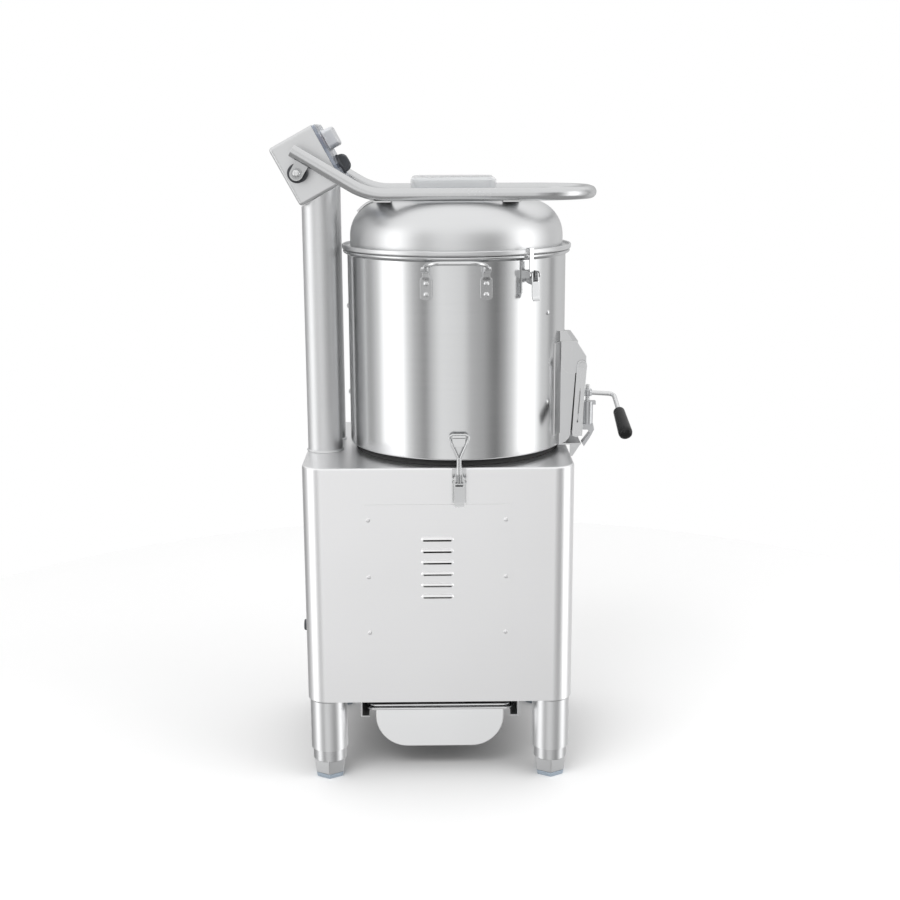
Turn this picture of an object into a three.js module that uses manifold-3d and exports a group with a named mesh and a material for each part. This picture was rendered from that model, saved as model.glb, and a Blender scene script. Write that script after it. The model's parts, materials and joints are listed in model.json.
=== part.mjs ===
// Electric potato peeler: an abrasive drum on a sheet steel cabinet that holds the motor and the belt drive.
// Millimetres, +Z up. X runs from the two posts at the back to the discharge door at the front.
// Every place below is measured from the drum's axis on the floor; the last lines centre the footprint.
import * as THREE from 'three';
import { mergeVertices } from 'three/addons/utils/BufferGeometryUtils.js';
import Module from 'manifold-3d';

const wasm = await Module();
wasm.setup();

// Fits that many pieces share
const SEAT_GAP = 0.3;
const RUNNING_GAP = 1;
const OVERRUN = 4;
const WELD_DEPTH = 0.6;
const HEAD_EDGE_SHARE = 0.4;
const HEAD_FACE_SHARE = 0.6;
const BEND_END_SHARE = 0.083;
const SHEET = 1.5;

// Facets round a circle
const LARGE_ROUND = 48;
const MEDIUM_ROUND = 24;
const SMALL_ROUND = 10;
const HEAD_ROUND = 8;
const HEX_SIDES = 6;
const CAP_STEPS = 2;
const FOLD_STEPS = 2;
const ARC_STEPS = 5;
const OUTLINE_STEPS = 3;
const BELT_STEPS = 12;

// Cabinet
const CABINET_WIDTH = 379;
const CABINET_DEPTH = 324;
const CABINET_HEIGHT = 343;
const CABINET_CORNER = 29;
const CABINET_FOLD = 3;
const CABINET_FRONT = 161;
const CABINET_BEHIND = CABINET_WIDTH / 2 - CABINET_FRONT;
const UNDERSIDE = 122;
const FRAME_PLATE = 3;
const FRAME_BAND = 44;

// Access panel with its louvres and screws
const PANEL_WIDTH = 205;
const PANEL_ABOVE_FRAME = 75.5;
const PANEL_BELOW_TOP = 51.5;
const PANEL_HEIGHT = CABINET_HEIGHT - PANEL_ABOVE_FRAME - PANEL_BELOW_TOP;
const PANEL_BEHIND = 2;
const PANEL_SHEET = 1.2;
const PANEL_ROUND = 2.4;
const PANEL_LAP = 14;
const PANEL_SCREW_INSET = 7;
const PANEL_SCREW_SHARES = [0.1, 0.48, 0.86];
const LOUVRE_COUNT = 6;
const LOUVRE_LENGTH = 46;
const LOUVRE_PITCH = 16.6;
const LOUVRE_RADIUS = 3.4;
const LOUVRE_LIP_SHARE = 0.33;
const LOUVRE_TOP_SHARE = 0.77;
const SCREW_RADIUS = 3.2;
const SCREW_HEIGHT = 1.6;

// Legs and levelling feet
const LEG_RADIUS = 26.5;
const LEG_WALL = 1.5;
const LEG_CAP = 3;
const FOOT_SHOW = 45;
const FOOT_INSERT = 14;
const FOOT_RADIUS = 24.4;
const FOOT_HEX_RADIUS = 21;
const FOOT_BASE_RADIUS = 19.5;
const FOOT_TAPER = 20;
const FOOT_PAD = 4;
const FOOT_CHAMFER = 2.5;
const FOOT_STUD = 6;
const HEX_FLAT_SHARE = 0.866;

// Waste tray and its rails
const RAIL_INSET = 76;
const RAIL_SPREAD = CABINET_WIDTH - 2 * RAIL_INSET;
const RAIL_DROP = 27.5;
const RAIL_FOOT = 12;
const RAIL_SHEET = 2;
const RAIL_END_GAP = 12;
const RAIL_LENGTH = CABINET_DEPTH - 2 * RAIL_END_GAP;
const TRAY_SIDE_GAP = 7.5;
const TRAY_RIM_WIDTH = RAIL_SPREAD - 2 * TRAY_SIDE_GAP;
const TRAY_RIM_HEIGHT = 8;
const TRAY_RIM_LENGTH = 264;
const TRAY_SIDE_LIP = 12.5;
const TRAY_END_LIP = 12;
const TRAY_WIDTH = TRAY_RIM_WIDTH - 2 * TRAY_SIDE_LIP;
const TRAY_LENGTH = TRAY_RIM_LENGTH - 2 * TRAY_END_LIP;
const TRAY_DEPTH = 62;
const TRAY_FLOOR_SHARE = 0.5;
const BASIN_RINGS = 4;
const BASIN_ROUND = 28;
const TRAY_WALL = 1.6;

// Drum and its lining
const DRUM_RADIUS = 156.5;
const DRUM_WALL = 1.5;
const DRUM_FLOOR = 2;
const DRUM_RAISE = 8.5;
const DRUM_HEIGHT = 278.5;
const DRUM_BEAD = 6;
const DRUM_BEAD_HEIGHT = 4.6;
const GASKET_INSET = 7.5;
const GASKET_BAND = 26;
const LINER_WALL = 2.4;
const LINER_TOP_INSET = 18;
const LINER_SCREW_RISES = [70, 196];
const LINER_SCREW_TURNS = [180, -37, 37];
const LINER_SCREW_RADIUS = 3.6;
const LINER_SCREW_HEIGHT = 2.4;

// Turning disc, spindle and belt drive
const DISC_RADIUS = 147;
const DISC_RISE = 22;
const DISC_THICKNESS = 11;
const DISC_CHAMFER = 2.75;
const DISC_WAVES = 3;
const WAVE_RADIUS = 9;
const WAVE_SINK = 4;
const SWEEP_WIDTH = 8;
const SWEEP_DROP = 14;
const HUB_RADIUS = 24;
const HUB_DROP = 17;
const SPINDLE_RADIUS = 12;
const SPINDLE_BORE = 17;
const SPINDLE_LENGTH = 232;
const SPINDLE_SHORT = 3;
const HOUSING_FLANGE = 46;
const HOUSING_FLANGE_HEIGHT = 7;
const HOUSING_RADIUS = 29;
const HOUSING_LENGTH = 118;
const HOUSING_RIB_SHARE = 0.7;
const HOUSING_RIB_TURN = 45;
const HOUSING_RIBS = 4;
const HOUSING_RIB_WIDTH = 6;
const PULLEY_BELOW_TOP = 155;
const PULLEY_WIDTH = 16;
const PULLEY_RADIUS = 70;
const PULLEY_HUB = 24;
const PULLEY_HOLES = 5;
const PULLEY_HOLE_SHARE = 0.33;
const PULLEY_WEB = 5;
const MOTOR_PULLEY_RADIUS = 26;
const GROOVE_DEPTH = 7;
const BELT_WIDTH = 9;
const BELT_SHARE = 0.85;

// Motor, bracket and drain
const MOTOR_OFFSET = 13;
const MOTOR_BEHIND = (CABINET_WIDTH - CABINET_FRONT) / 2 + MOTOR_OFFSET;
const MOTOR_RADIUS = 56;
const MOTOR_FINS = 26;
const MOTOR_FIN_DEPTH = 5;
const MOTOR_HEIGHT = 106;
const MOTOR_BELL = 13.25;
const MOTOR_NOSE_SHARE = 0.8;
const MOTOR_FIN_SHARES = [[-0.45, 0], [-0.135, 1], [0.135, 1], [0.45, 0]];
const TERMINAL_HALF = 18.5;
const BRACKET_BORE = 13.5;
const MOTOR_SHAFT = 9;
const MOTOR_SHAFT_SUNK = 20;
const BRACKET_PLATE = 4;
const BRACKET_LENGTH = 128;
const BRACKET_LIP = 16;
const BRACKET_RAISE = 9;
const DRAIN_RADIUS = 19;
const DRAIN_WALL = 2;
const DRAIN_AHEAD = 35;
const DRAIN_ASIDE = 92;
const DRAIN_ABOVE_TRAY = 9;
const GLAND_RADIUS = 11;
const GLAND_LENGTH = 16;
const GLAND_NUT = 9;
const GLAND_HOLE = 4.5;
const GLAND_NOSE_SHARE = 0.7;
const GLAND_HEIGHT = 60;

// Posts and control box
const POST_RADIUS = 25;
const POST_WALL = 2;
const POST_SPREAD = 76;
const POST_BEHIND = 192;
const POST_WELD = 1;
const BOX_TILT = 28.5;
const BOX_WIDTH = 132;
const BOX_DEPTH = 67;
const BOX_HEIGHT = 88.5;
const BOX_ROUND = 1.4;
const BOX_ABOVE_DRUM = 116.6;
const BOX_BEHIND_POST = 15.8;
const COVER_THICKNESS = 4.5;
const COVER_INSET = 1.2;
const COVER_ROUND = 6;
const FASCIA_THICKNESS = 2;

// Timer and push buttons
const KNOB_RADIUS = 14.5;
const KNOB_CROWN_SHARE = 0.92;
const KNOB_CURVE_SHARE = 0.6;
const KNOB_SCOOP_SHARES = [0.5, 1];
const KNOB_HEIGHT = 14.5;
const KNOB_SKIRT = 3;
const KNOB_SHAFT = 3;
const KNOB_DROP = 20;
const TIMER_SIZE = 42;
const TIMER_DEPTH = 30;
const BOOT_RISE = 18;
const BOOT_WIDTH = 52;
const BOOT_HEIGHT = 28;
const BOOT_DEPTH = 16;
const BOOT_WALL = 1.2;
const BOOT_FLANGE = 2.4;
const BOOT_ROUND = 6;
const BUTTON_RADIUS = 9;
const BUTTON_EDGE = 1.5;
const BUTTON_SPREAD = 22;
const BUTTON_SHOW = 9;
const BUTTON_TRAVEL = 4;
const SWITCH_DEPTH = 28;

// Lid with its window
const LID_RIM_RADIUS = 164;
const LID_RIM_HEIGHT = 7;
const LID_RIM_BAND = 4;
const LID_RADIUS = 152;
const LID_SHOULDER = 50;
const LID_HEIGHT = 68.5;
const LID_WALL = 1.4;
const WINDOW_LENGTH = 119;
const WINDOW_WIDTH = 126;
const WINDOW_HEIGHT = 32;
const WINDOW_ROUND = 12;
const WINDOW_FOLD = 5;
const WINDOW_WALL = 2.5;
const WINDOW_LAP = 9.5;
const WINDOW_HOLE_ROUND = 4;
const WINDOW_BEHIND = 4.5;

// Lifting hoop and its hinge
const HOOP_TUBE = 8.75;
const HOOP_TUBE_WALL = 1.6;
const HOOP_SPREAD = 200;
const HOOP_FRONT = 189;
const HOOP_CORNER = 84;
const HOOP_KNEE = 91;
const HOOP_SLOPE = 30.6;
const HOOP_SIDES = 10;
const HOOP_STEPS = 40;
const HOOP_END_BEHIND = 5.9;
const HOOP_END_ABOVE = 30.5;
const HOOP_END_BORE = 12;
const PIVOT_BEHIND_BOX = 9;
const PIVOT_BELOW_BOX = 8.6;
const EAR_WIDTH = 16;
const EAR_BELOW = 10;
const EAR_THICKNESS = 5;
const PIN_RADIUS = 5;
const PIN_TIP_SHARE = 0.8;
const BUSH_RADIUS = 13;
const WASHER_RADIUS = 7.6;
const WASHER_THICKNESS = 2.4;
const STRAP_THICKNESS = 2.4;
const STRAP_WIDTH = 24;
const STRAP_REAR = 102;
const STRAP_FRONT = 74;
const TAB_WIDTH = 30;
const TAB_TURN = 48;
const STRAP_BOLT_RADIUS = 5;
const STRAP_BOLT_HEIGHT = 4;
const STRAP_BOLT_SPREAD = 60;

// Discharge duct
const DUCT_WIDTH = 114;
const DUCT_TOP = 159;
const DUCT_BOTTOM = 10;
const DUCT_BACK = 140;
const MOUTH_TOP_X = 171.5;
const MOUTH_BOTTOM_X = 162.5;
const MOUTH_BOTTOM = 28;
const DUCT_CORNER = 17;
const FRONT_PLATE_RISE = 119;
const DUCT_FLANGE_WIDTH = 156;
const DUCT_FLANGE_BOTTOM = 26;
const WINDOW_CUT_WIDTH = 98;
const WINDOW_CUT_BOTTOM = 47;
const WINDOW_CUT_TOP = 118;
const LIP_REACH = 178;
const LIP_BELOW = 8.5;
const LIP_FOOT = 4;
const LIP_CLEAR = 2;
const HINGE_DISC = 15.5;
const HINGE_DISC_X = 163.5;
const HINGE_DISC_RISE = 128;
const EAR_PLATE = 2.5;
const GUSSET_RISE = 14;
const GUSSET_REACH = 9;

// Discharge door with its arms and clamp
const DOOR_PIVOT_X = 177.2;
const DOOR_PIVOT_RISE = 125;
const DOOR_PIVOT_ROUND = 6.2;
const DOOR_PIN = 3.5;
const DOOR_PIN_HEAD = 5;
const DOOR_PIN_HEAD_HEIGHT = 2.6;
const DOOR_DEPTH = 14.5;
const DOOR_BOTTOM = 21;
const DOOR_SIDE_GAP = 0.6;
const DOOR_GASKET = 2.6;
const DOOR_GASKET_BAND = 7;
const ARM_THICKNESS = 3;
const ARM_TOP_ROUND = 7.2;
const ARM_END_ROUND = 6.2;
const ARM_END_RISE = 27;
const ARM_END_X = 170.6;
const ARM_SLOT_LENGTH = 50;
const ARM_SLOT_WIDTH = 2;
const ARM_SLOT_RISE = 67;
const BOSS_RADIUS = 5;
const BOSS_RISES = [50, 92];
const CLAMP_WIDTH = 34;
const CLAMP_RISE = 62;
const CLAMP_HEIGHT = 42;
const CLAMP_PLATE = 3;
const CLAMP_REACH = 15;
const CLAMP_TAIL = 25;
const CLAMP_LUG = 5;
const SPINDLE_PIN = 3.2;
const SPINDLE_PIN_ABOVE = 17.5;
const LEVER_ROD = 3.3;
const LEVER_BEND = 6.6;
const LEVER_STEPS = 18;
const LEVER_REACH = 38.3;
const LEVER_SPLAY = 5;
const LEVER_DIP = 26;
const LEVER_FALL = 2.5;
const LEVER_HUB = 6.5;
const LEVER_HUB_HEIGHT = 10;
const LEVER_HUB_ABOVE = 7;
const GRIP_START = 42;
const GRIP_RADIUS = 8.4;
const GRIP_EDGE = 2.1;
const GRIP_END_RADIUS = 10;
const GRIP_LENGTH = 56;
const GRIP_SOCKET = 34;

// Drum handles
const HANDLE_SPREAD = 80;
const HANDLE_BEHIND = 3;
const HANDLE_BAR_DROP = 5.5;
const HANDLE_EYE_DROP = 17;
const HANDLE_PLATE_DROP = 27;
const HANDLE_PLATE_LENGTH = 31;
const HANDLE_PLATE_WIDTH = 16.6;
const HANDLE_PLATE_ROUND = 5;
const HANDLE_NECK_WIDTH = 10;
const HANDLE_PLATE = 2;
const HANDLE_ROD = 2.7;
const HANDLE_REACH = 38;
const HANDLE_EYE = 4.6;
const HANDLE_CORNER = 26;
const HANDLE_STEPS = 14;
const RIVET_RADIUS = 3.4;
const RIVET_HEIGHT = 1.8;
const RIVET_DROPS = [36, 50.5];

// Toggle latches: two draw the drum down on the cabinet, one holds the lid
const LATCH_PLATE_HALF = 10;
const LATCH_PLATE_HEIGHT = 48;
const LATCH_PLATE = 1.4;
const LATCH_TOP_DROP = 1;
const LATCH_PIVOT_DROP = 14;
const LATCH_PIVOT_OUT = 10.5;
const LATCH_STUB = 1.6;
const LATCH_EAR = 1.4;
const LATCH_EAR_ROUND = 4.4;
const LATCH_HUB = 3.8;
const CRANK_IN = 4.3;
const CRANK_DOWN = 8;
const CHEEK_INNER = 5.4;
const CHEEK = 1.6;
const LEVER_SHEET = 1.6;
const LEVER_TOP_DROP = 9;
const LEVER_OUT = 3.6;
const LEVER_LENGTH = 28;
const LEVER_KICK = 3;
const BAIL_WIRE = 1.5;
const BAIL_SPLIT = 1.7;
const BAIL_STEM = 36;
const BAIL_V = 21;
const BAIL_V_HALF = 11.2;
const BAIL_SIDE = 9;
const BAIL_HALF = 14.3;
const BAIL_TOP = 3;
const BAIL_TOP_HALF = 9;
const BAIL_LEAN = 3.2;
const BAIL_STEPS = 30;
const BAIL_SIDES = 6;
const KEEPER_HALF = 9;
const KEEPER_HEIGHT = 15;
const KEEPER_SHEET = 1.4;
const KEEPER_PLAY = 1.8;
const KEEPER_LIP = 3;

const LID_LATCH_TURN = -53.9;
const LID_PLATE_HALF = 9;
const LID_PLATE_HEIGHT = 43;
const LID_LATCH_DROP = 9;
const LID_PIVOT_DROP = 26;
const LID_PIVOT_OUT = 15.5;
const LID_CHEEK_INNER = 4.4;
const LID_LEVER_LENGTH = 26;
const LID_HOOK_HALF = 3.5;
const LID_HOOK_SHEET = 1.8;
const LID_HOOK_HUB = 2.8;
const LID_NOTCH_HALF = 6.5;
const LID_CLAW_SHORT = 3;

const FULL_TURN = 360;
const RADIAN = (2 * Math.PI) / FULL_TURN;

// Heights and places that follow from the sizes above
const CABINET_TOP = UNDERSIDE + CABINET_HEIGHT;
const DRUM_BOTTOM = CABINET_TOP + DRUM_RAISE;
const DRUM_TOP = DRUM_BOTTOM + DRUM_HEIGHT;
const LID_TOP = DRUM_TOP + LID_HEIGHT;
const HOOP_Z = LID_TOP + SEAT_GAP + STRAP_THICKNESS + HOOP_TUBE - WELD_DEPTH;
const BOX_CENTRE_X = -(POST_BEHIND + BOX_BEHIND_POST);
const BOX_CENTRE_Z = DRUM_TOP + BOX_ABOVE_DRUM;
const PIVOT_X = BOX_CENTRE_X - PIVOT_BEHIND_BOX;
const PIVOT_Z = BOX_CENTRE_Z - PIVOT_BELOW_BOX;
const DOOR_PIVOT_Z = CABINET_TOP + DOOR_PIVOT_RISE;
const PULLEY_TOP = CABINET_TOP - PULLEY_BELOW_TOP;
const LINER_RADIUS = DRUM_RADIUS - DRUM_WALL - SEAT_GAP;
const RAIL_FOOT_TOP = UNDERSIDE - RAIL_DROP + RAIL_SHEET;

// Materials
const steel = (colour, roughness) => new THREE.MeshStandardMaterial({ color: colour, roughness,
  metalness: 1 });
const plastic = (colour, roughness) => new THREE.MeshStandardMaterial({ color: colour, roughness,
  metalness: 0 });
const BRUSHED = steel(0xc9cbcc, 0.32);
const POLISHED = steel(0xd9dadb, 0.14);
const SATIN = steel(0xdcdddd, 0.42);
const CAST = steel(0x9b9ea0, 0.55);
const BLACK_RUBBER = plastic(0x141414, 0.75);
const BLACK_PLASTIC = plastic(0x17181a, 0.4);
const WHITE_PLASTIC = plastic(0xf1f2f2, 0.35);
const CLEAR_PLASTIC = plastic(0xdfe7ef, 0.08);
const GRIT = plastic(0x5d5a55, 0.95);
const MOTOR_PAINT = plastic(0x3d5163, 0.45);
const GREEN_PLASTIC = plastic(0x2c8c4a, 0.35);
const RED_PLASTIC = plastic(0xb3262a, 0.35);

// A closed three.js geometry as a solid that can be joined and cut, its faces turned outwards.
function solid(geometry) {
  const bare = geometry.clone();
  bare.deleteAttribute('normal');
  bare.deleteAttribute('uv');
  const merged = mergeVertices(bare);
  const corners = Float32Array.from(merged.attributes.position.array);
  const faces = [];
  for (let i = 0; i < merged.index.count; i += 3) {
    const [a, b, c] = [0, 1, 2].map((k) => merged.index.getX(i + k));
    if (a !== b && b !== c && c !== a) faces.push(a, b, c);
  }
  if (signedVolume(corners, faces) < 0) faces.reverse();
  const mesh = new wasm.Mesh({ numProp: 3, vertProperties: corners, triVerts: Uint32Array.from(faces) });
  return new wasm.Manifold(mesh);
}

function signedVolume(corners, faces) {
  const corner = (i) => new THREE.Vector3().fromArray(corners, i * 3);
  let sum = 0;
  for (let i = 0; i < faces.length; i += 3) {
    const [a, b, c] = [corner(faces[i]), corner(faces[i + 1]), corner(faces[i + 2])];
    sum += a.dot(b.cross(c));
  }
  return sum;
}

const join = (...pieces) => pieces.reduce((whole, piece) => whole.add(piece));
const cut = (whole, ...tools) => tools.reduce((left, tool) => left.subtract(tool), whole);

// A solid as a three.js geometry.
function geometryOf(body) {
  const mesh = body.getMesh();
  const geometry = new THREE.BufferGeometry();
  geometry.setAttribute('position', new THREE.BufferAttribute(Float32Array.from(mesh.vertProperties), 3));
  geometry.setIndex(new THREE.BufferAttribute(Uint32Array.from(mesh.triVerts), 1));
  geometry.computeVertexNormals();
  return geometry;
}

function node(name, body, material) {
  const mesh = new THREE.Mesh(geometryOf(body), material.clone());
  mesh.name = name;
  return mesh;
}

function groupOf(x, y, z, ...children) {
  const group = new THREE.Group();
  group.position.set(x, y, z);
  group.add(...children);
  return group;
}

// A block between two limits on each axis.
function block([x0, x1], [y0, y1], [z0, z1]) {
  const box = new THREE.BoxGeometry(x1 - x0, y1 - y0, z1 - z0);
  return solid(box.translate((x0 + x1) / 2, (y0 + y1) / 2, (z0 + z1) / 2));
}

// A round bar between two heights, standing at x, y.
function post(radius, [z0, z1], facets = MEDIUM_ROUND, x = 0, y = 0) {
  const bar = new THREE.CylinderGeometry(radius, radius, z1 - z0, facets);
  return solid(bar.rotateX(Math.PI / 2).translate(x, y, (z0 + z1) / 2));
}

// A round bar along Y between two limits, at x, z.
function crossBar(radius, [y0, y1], x, z, facets = SMALL_ROUND) {
  const bar = new THREE.CylinderGeometry(radius, radius, y1 - y0, facets);
  return solid(bar.translate(x, (y0 + y1) / 2, z));
}

// A round bar along X between two limits, at y, z.
function longBar(radius, [x0, x1], y, z, facets = SMALL_ROUND) {
  const bar = new THREE.CylinderGeometry(radius, radius, x1 - x0, facets);
  return solid(bar.rotateZ(Math.PI / 2).translate((x0 + x1) / 2, y, z));
}

// A profile of radii and heights turned round the vertical axis.
function turned(profile, facets = LARGE_ROUND) {
  const points = profile.map(([radius, z]) => new THREE.Vector2(radius, z));
  points.push(points[0].clone());
  return solid(new THREE.LatheGeometry(points, facets).rotateX(Math.PI / 2));
}

// A profile of radii and places turned round an axis along Y.
function turnedAlongY(profile, facets = MEDIUM_ROUND) {
  const points = profile.map(([radius, y]) => new THREE.Vector2(radius, y));
  points.push(points[0].clone());
  return solid(new THREE.LatheGeometry(points, facets));
}

// A flat outline in X and Z, given thickness along Y.
function slab(outline, [y0, y1]) {
  const plate = new THREE.ExtrudeGeometry(outline, { depth: y1 - y0, bevelEnabled: false,
    curveSegments: OUTLINE_STEPS });
  return solid(plate.rotateX(Math.PI / 2).translate(0, y1, 0));
}

// A flat outline in X and Y, given height along Z.
function sheet(outline, [z0, z1], arcSteps = OUTLINE_STEPS) {
  const plate = new THREE.ExtrudeGeometry(outline, { depth: z1 - z0, bevelEnabled: false,
    curveSegments: arcSteps });
  return solid(plate.translate(0, 0, z0));
}

function polygon(points) {
  return new THREE.Shape(points.map(([x, y]) => new THREE.Vector2(x, y)));
}

// A rectangle with round corners, centred on zero.
function roundedRectangle(width, height, round) {
  const [x, y] = [width / 2, height / 2];
  const radius = Math.min(round, x, y);
  const shape = new THREE.Shape();
  shape.absarc(x - radius, y - radius, radius, 0, Math.PI / 2);
  shape.absarc(radius - x, y - radius, radius, Math.PI / 2, Math.PI);
  shape.absarc(radius - x, radius - y, radius, Math.PI, 1.5 * Math.PI);
  shape.absarc(x - radius, radius - y, radius, 1.5 * Math.PI, 2 * Math.PI);
  shape.closePath();
  return shape;
}

// The outline of a strap that is rounded about two centres.
function strapOutline([x0, z0, r0], [x1, z1, r1]) {
  const along = Math.atan2(z1 - z0, x1 - x0);
  const span = Math.hypot(x1 - x0, z1 - z0);
  const flare = Math.acos((r0 - r1) / span);
  const shape = new THREE.Shape();
  shape.absarc(x0, z0, r0, along + flare, along + 2 * Math.PI - flare);
  shape.absarc(x1, z1, r1, along - flare, along + flare);
  shape.closePath();
  return shape;
}

// A rounded block whose top edges are folded over; its underside is flat.
function foldedBlock(width, depth, height, round, fold) {
  const outline = roundedRectangle(width - 2 * fold, depth - 2 * fold, round - fold);
  const options = { depth: height, bevelThickness: fold, bevelSize: fold, bevelSegments: FOLD_STEPS,
    curveSegments: OUTLINE_STEPS };
  const whole = solid(new THREE.ExtrudeGeometry(outline, options).translate(0, 0, -fold));
  const reach = [-width, width];
  return cut(whole, block(reach, reach, [-OVERRUN - fold - height, 0]));
}

// A round rod swept along a smooth route through the given points.
function rod(points, radius, sides, steps) {
  const route = new THREE.CatmullRomCurve3(points, false, 'centripetal');
  const section = new THREE.Shape();
  for (let i = 0; i < sides; i += 1) {
    const turn = (2 * Math.PI * i) / sides;
    const place = [radius * Math.cos(turn), radius * Math.sin(turn)];
    if (i === 0) section.moveTo(...place);
    else section.lineTo(...place);
  }
  section.closePath();
  return solid(new THREE.ExtrudeGeometry(section, { steps, extrudePath: route, bevelEnabled: false }));
}

// Points round a bend from one direction to another, both unit vectors.
function bend(corner, before, after, radius, steps = ARC_STEPS) {
  const turn = before.angleTo(after);
  const trim = radius * Math.tan(turn / 2);
  const start = corner.clone().addScaledVector(before, -trim);
  const side = after.clone().addScaledVector(before, -before.dot(after)).normalize();
  const points = [];
  for (let i = 0; i <= steps; i += 1) {
    const angle = (turn * i) / steps;
    const point = start.clone().addScaledVector(before, radius * Math.sin(angle));
    points.push(point.addScaledVector(side, radius * (1 - Math.cos(angle))));
  }
  const pin = radius * BEND_END_SHARE;
  points.unshift(start.clone().addScaledVector(before, -pin));
  points.push(points[points.length - 1].clone().addScaledVector(after, pin));
  return points;
}

// A shallow screw or rivet head along a direction, by a short turned profile.
function head(radius, height) {
  const profile = [[0, -WELD_DEPTH], [radius, -WELD_DEPTH], [radius, height * HEAD_EDGE_SHARE],
    [radius * HEAD_FACE_SHARE, height], [0, height]];
  return turned(profile, HEAD_ROUND);
}

// Cabinet
function cabinetShell() {
  const inner = 2 * SHEET;
  const hood = foldedBlock(CABINET_WIDTH, CABINET_DEPTH, CABINET_HEIGHT, CABINET_CORNER, CABINET_FOLD);
  const room = foldedBlock(CABINET_WIDTH - inner, CABINET_DEPTH - inner, CABINET_HEIGHT - SHEET,
    CABINET_CORNER - SHEET, CABINET_FOLD / 2);
  const below = sheet(roundedRectangle(CABINET_WIDTH - inner, CABINET_DEPTH - inner, CABINET_CORNER - SHEET),
    [-OVERRUN, OVERRUN]);
  const panelZ = PANEL_ABOVE_FRAME + PANEL_HEIGHT / 2;
  const half = [PANEL_WIDTH / 2 - PANEL_LAP, PANEL_HEIGHT / 2 - PANEL_LAP];
  const wall = -CABINET_DEPTH / 2;
  const hatch = block([-PANEL_BEHIND - half[0], -PANEL_BEHIND + half[0]],
    [wall - OVERRUN, wall + SHEET + OVERRUN], [panelZ - half[1], panelZ + half[1]]);
  const through = [CABINET_HEIGHT - SHEET - OVERRUN, CABINET_HEIGHT + OVERRUN];
  const spindleHole = post(SPINDLE_BORE, through, MEDIUM_ROUND, CABINET_BEHIND, 0);
  const drainHole = post(DRAIN_RADIUS + RUNNING_GAP / 2, through, MEDIUM_ROUND, CABINET_BEHIND + DRAIN_AHEAD,
    DRAIN_ASIDE);
  const glandHole = longBar(GLAND_NUT, [-CABINET_WIDTH / 2 - OVERRUN, -CABINET_WIDTH / 2 + SHEET + OVERRUN],
    0,
    GLAND_HEIGHT, MEDIUM_ROUND);
  const shell = cut(hood, room, below, hatch, spindleHole, drainHole, glandHole);
  return node('cabinet_shell', shell.translate([-CABINET_BEHIND, 0, UNDERSIDE]), SATIN);
}

function bottomFrame() {
  const gap = 2 * (SHEET + SEAT_GAP);
  const [width, depth] = [CABINET_WIDTH - gap, CABINET_DEPTH - gap];
  const outline = roundedRectangle(width, depth, CABINET_CORNER - gap / 2);
  const plate = sheet(outline, [0, FRAME_PLATE]);
  const hole = block([-width / 2 + FRAME_BAND, width / 2 - FRAME_BAND],
    [-depth / 2 + FRAME_BAND, depth / 2 - FRAME_BAND], [-OVERRUN, FRAME_PLATE + OVERRUN]);
  const rails = [-1, 1].map((side) => trayRail(side));
  const frame = join(cut(plate, hole), ...rails);
  return node('bottom_frame', frame.translate([-CABINET_BEHIND, 0, UNDERSIDE]), BRUSHED);
}

// One angle rail under the frame: a hanging web and a foot that turns inwards.
function trayRail(side) {
  const outer = RAIL_SPREAD / 2;
  const along = [-RAIL_LENGTH / 2, RAIL_LENGTH / 2];
  const limits = (near, far) => [side * near, side * far].sort((a, b) => a - b);
  const web = block(limits(outer - RAIL_SHEET, outer), along, [-RAIL_DROP, WELD_DEPTH]);
  const foot = block(limits(outer - RAIL_FOOT, outer), along, [-RAIL_DROP, -RAIL_DROP + RAIL_SHEET]);
  const flange = block(limits(outer - RAIL_SHEET, outer + RAIL_FOOT), along, [-RAIL_SHEET, WELD_DEPTH]);
  return join(web, foot, flange);
}

function accessPanel() {
  const z0 = UNDERSIDE + PANEL_ABOVE_FRAME;
  const x = -CABINET_BEHIND - PANEL_BEHIND;
  const face = -CABINET_DEPTH / 2 - SEAT_GAP;
  const outline = roundedRectangle(PANEL_WIDTH, PANEL_HEIGHT, PANEL_ROUND);
  const plate = slab(outline, [-PANEL_SHEET, 0]);
  const screws = [];
  for (const side of [-1, 1]) {
    for (const share of PANEL_SCREW_SHARES) {
      const place = [side * (PANEL_WIDTH / 2 - PANEL_SCREW_INSET), -PANEL_SHEET,
        (0.5 - share) * PANEL_HEIGHT];
      screws.push(head(SCREW_RADIUS, SCREW_HEIGHT).rotate([90, 0, 0]).translate(place));
    }
  }
  const louvres = [];
  const slots = [];
  for (let i = 0; i < LOUVRE_COUNT; i += 1) {
    const z = (LOUVRE_TOP_SHARE - 0.5) * PANEL_HEIGHT - i * LOUVRE_PITCH;
    louvres.push(louvre().translate([0, -PANEL_SHEET, z]));
    const half = LOUVRE_LENGTH / 2 - LOUVRE_RADIUS;
    slots.push(block([-half, half], [-PANEL_SHEET - LOUVRE_RADIUS, OVERRUN], [z - LOUVRE_RADIUS, z]));
  }
  const panel = cut(join(plate, ...screws, ...louvres), ...slots);
  return node('access_panel', panel.translate([x, face, z0 + PANEL_HEIGHT / 2]), SATIN);
}

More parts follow.
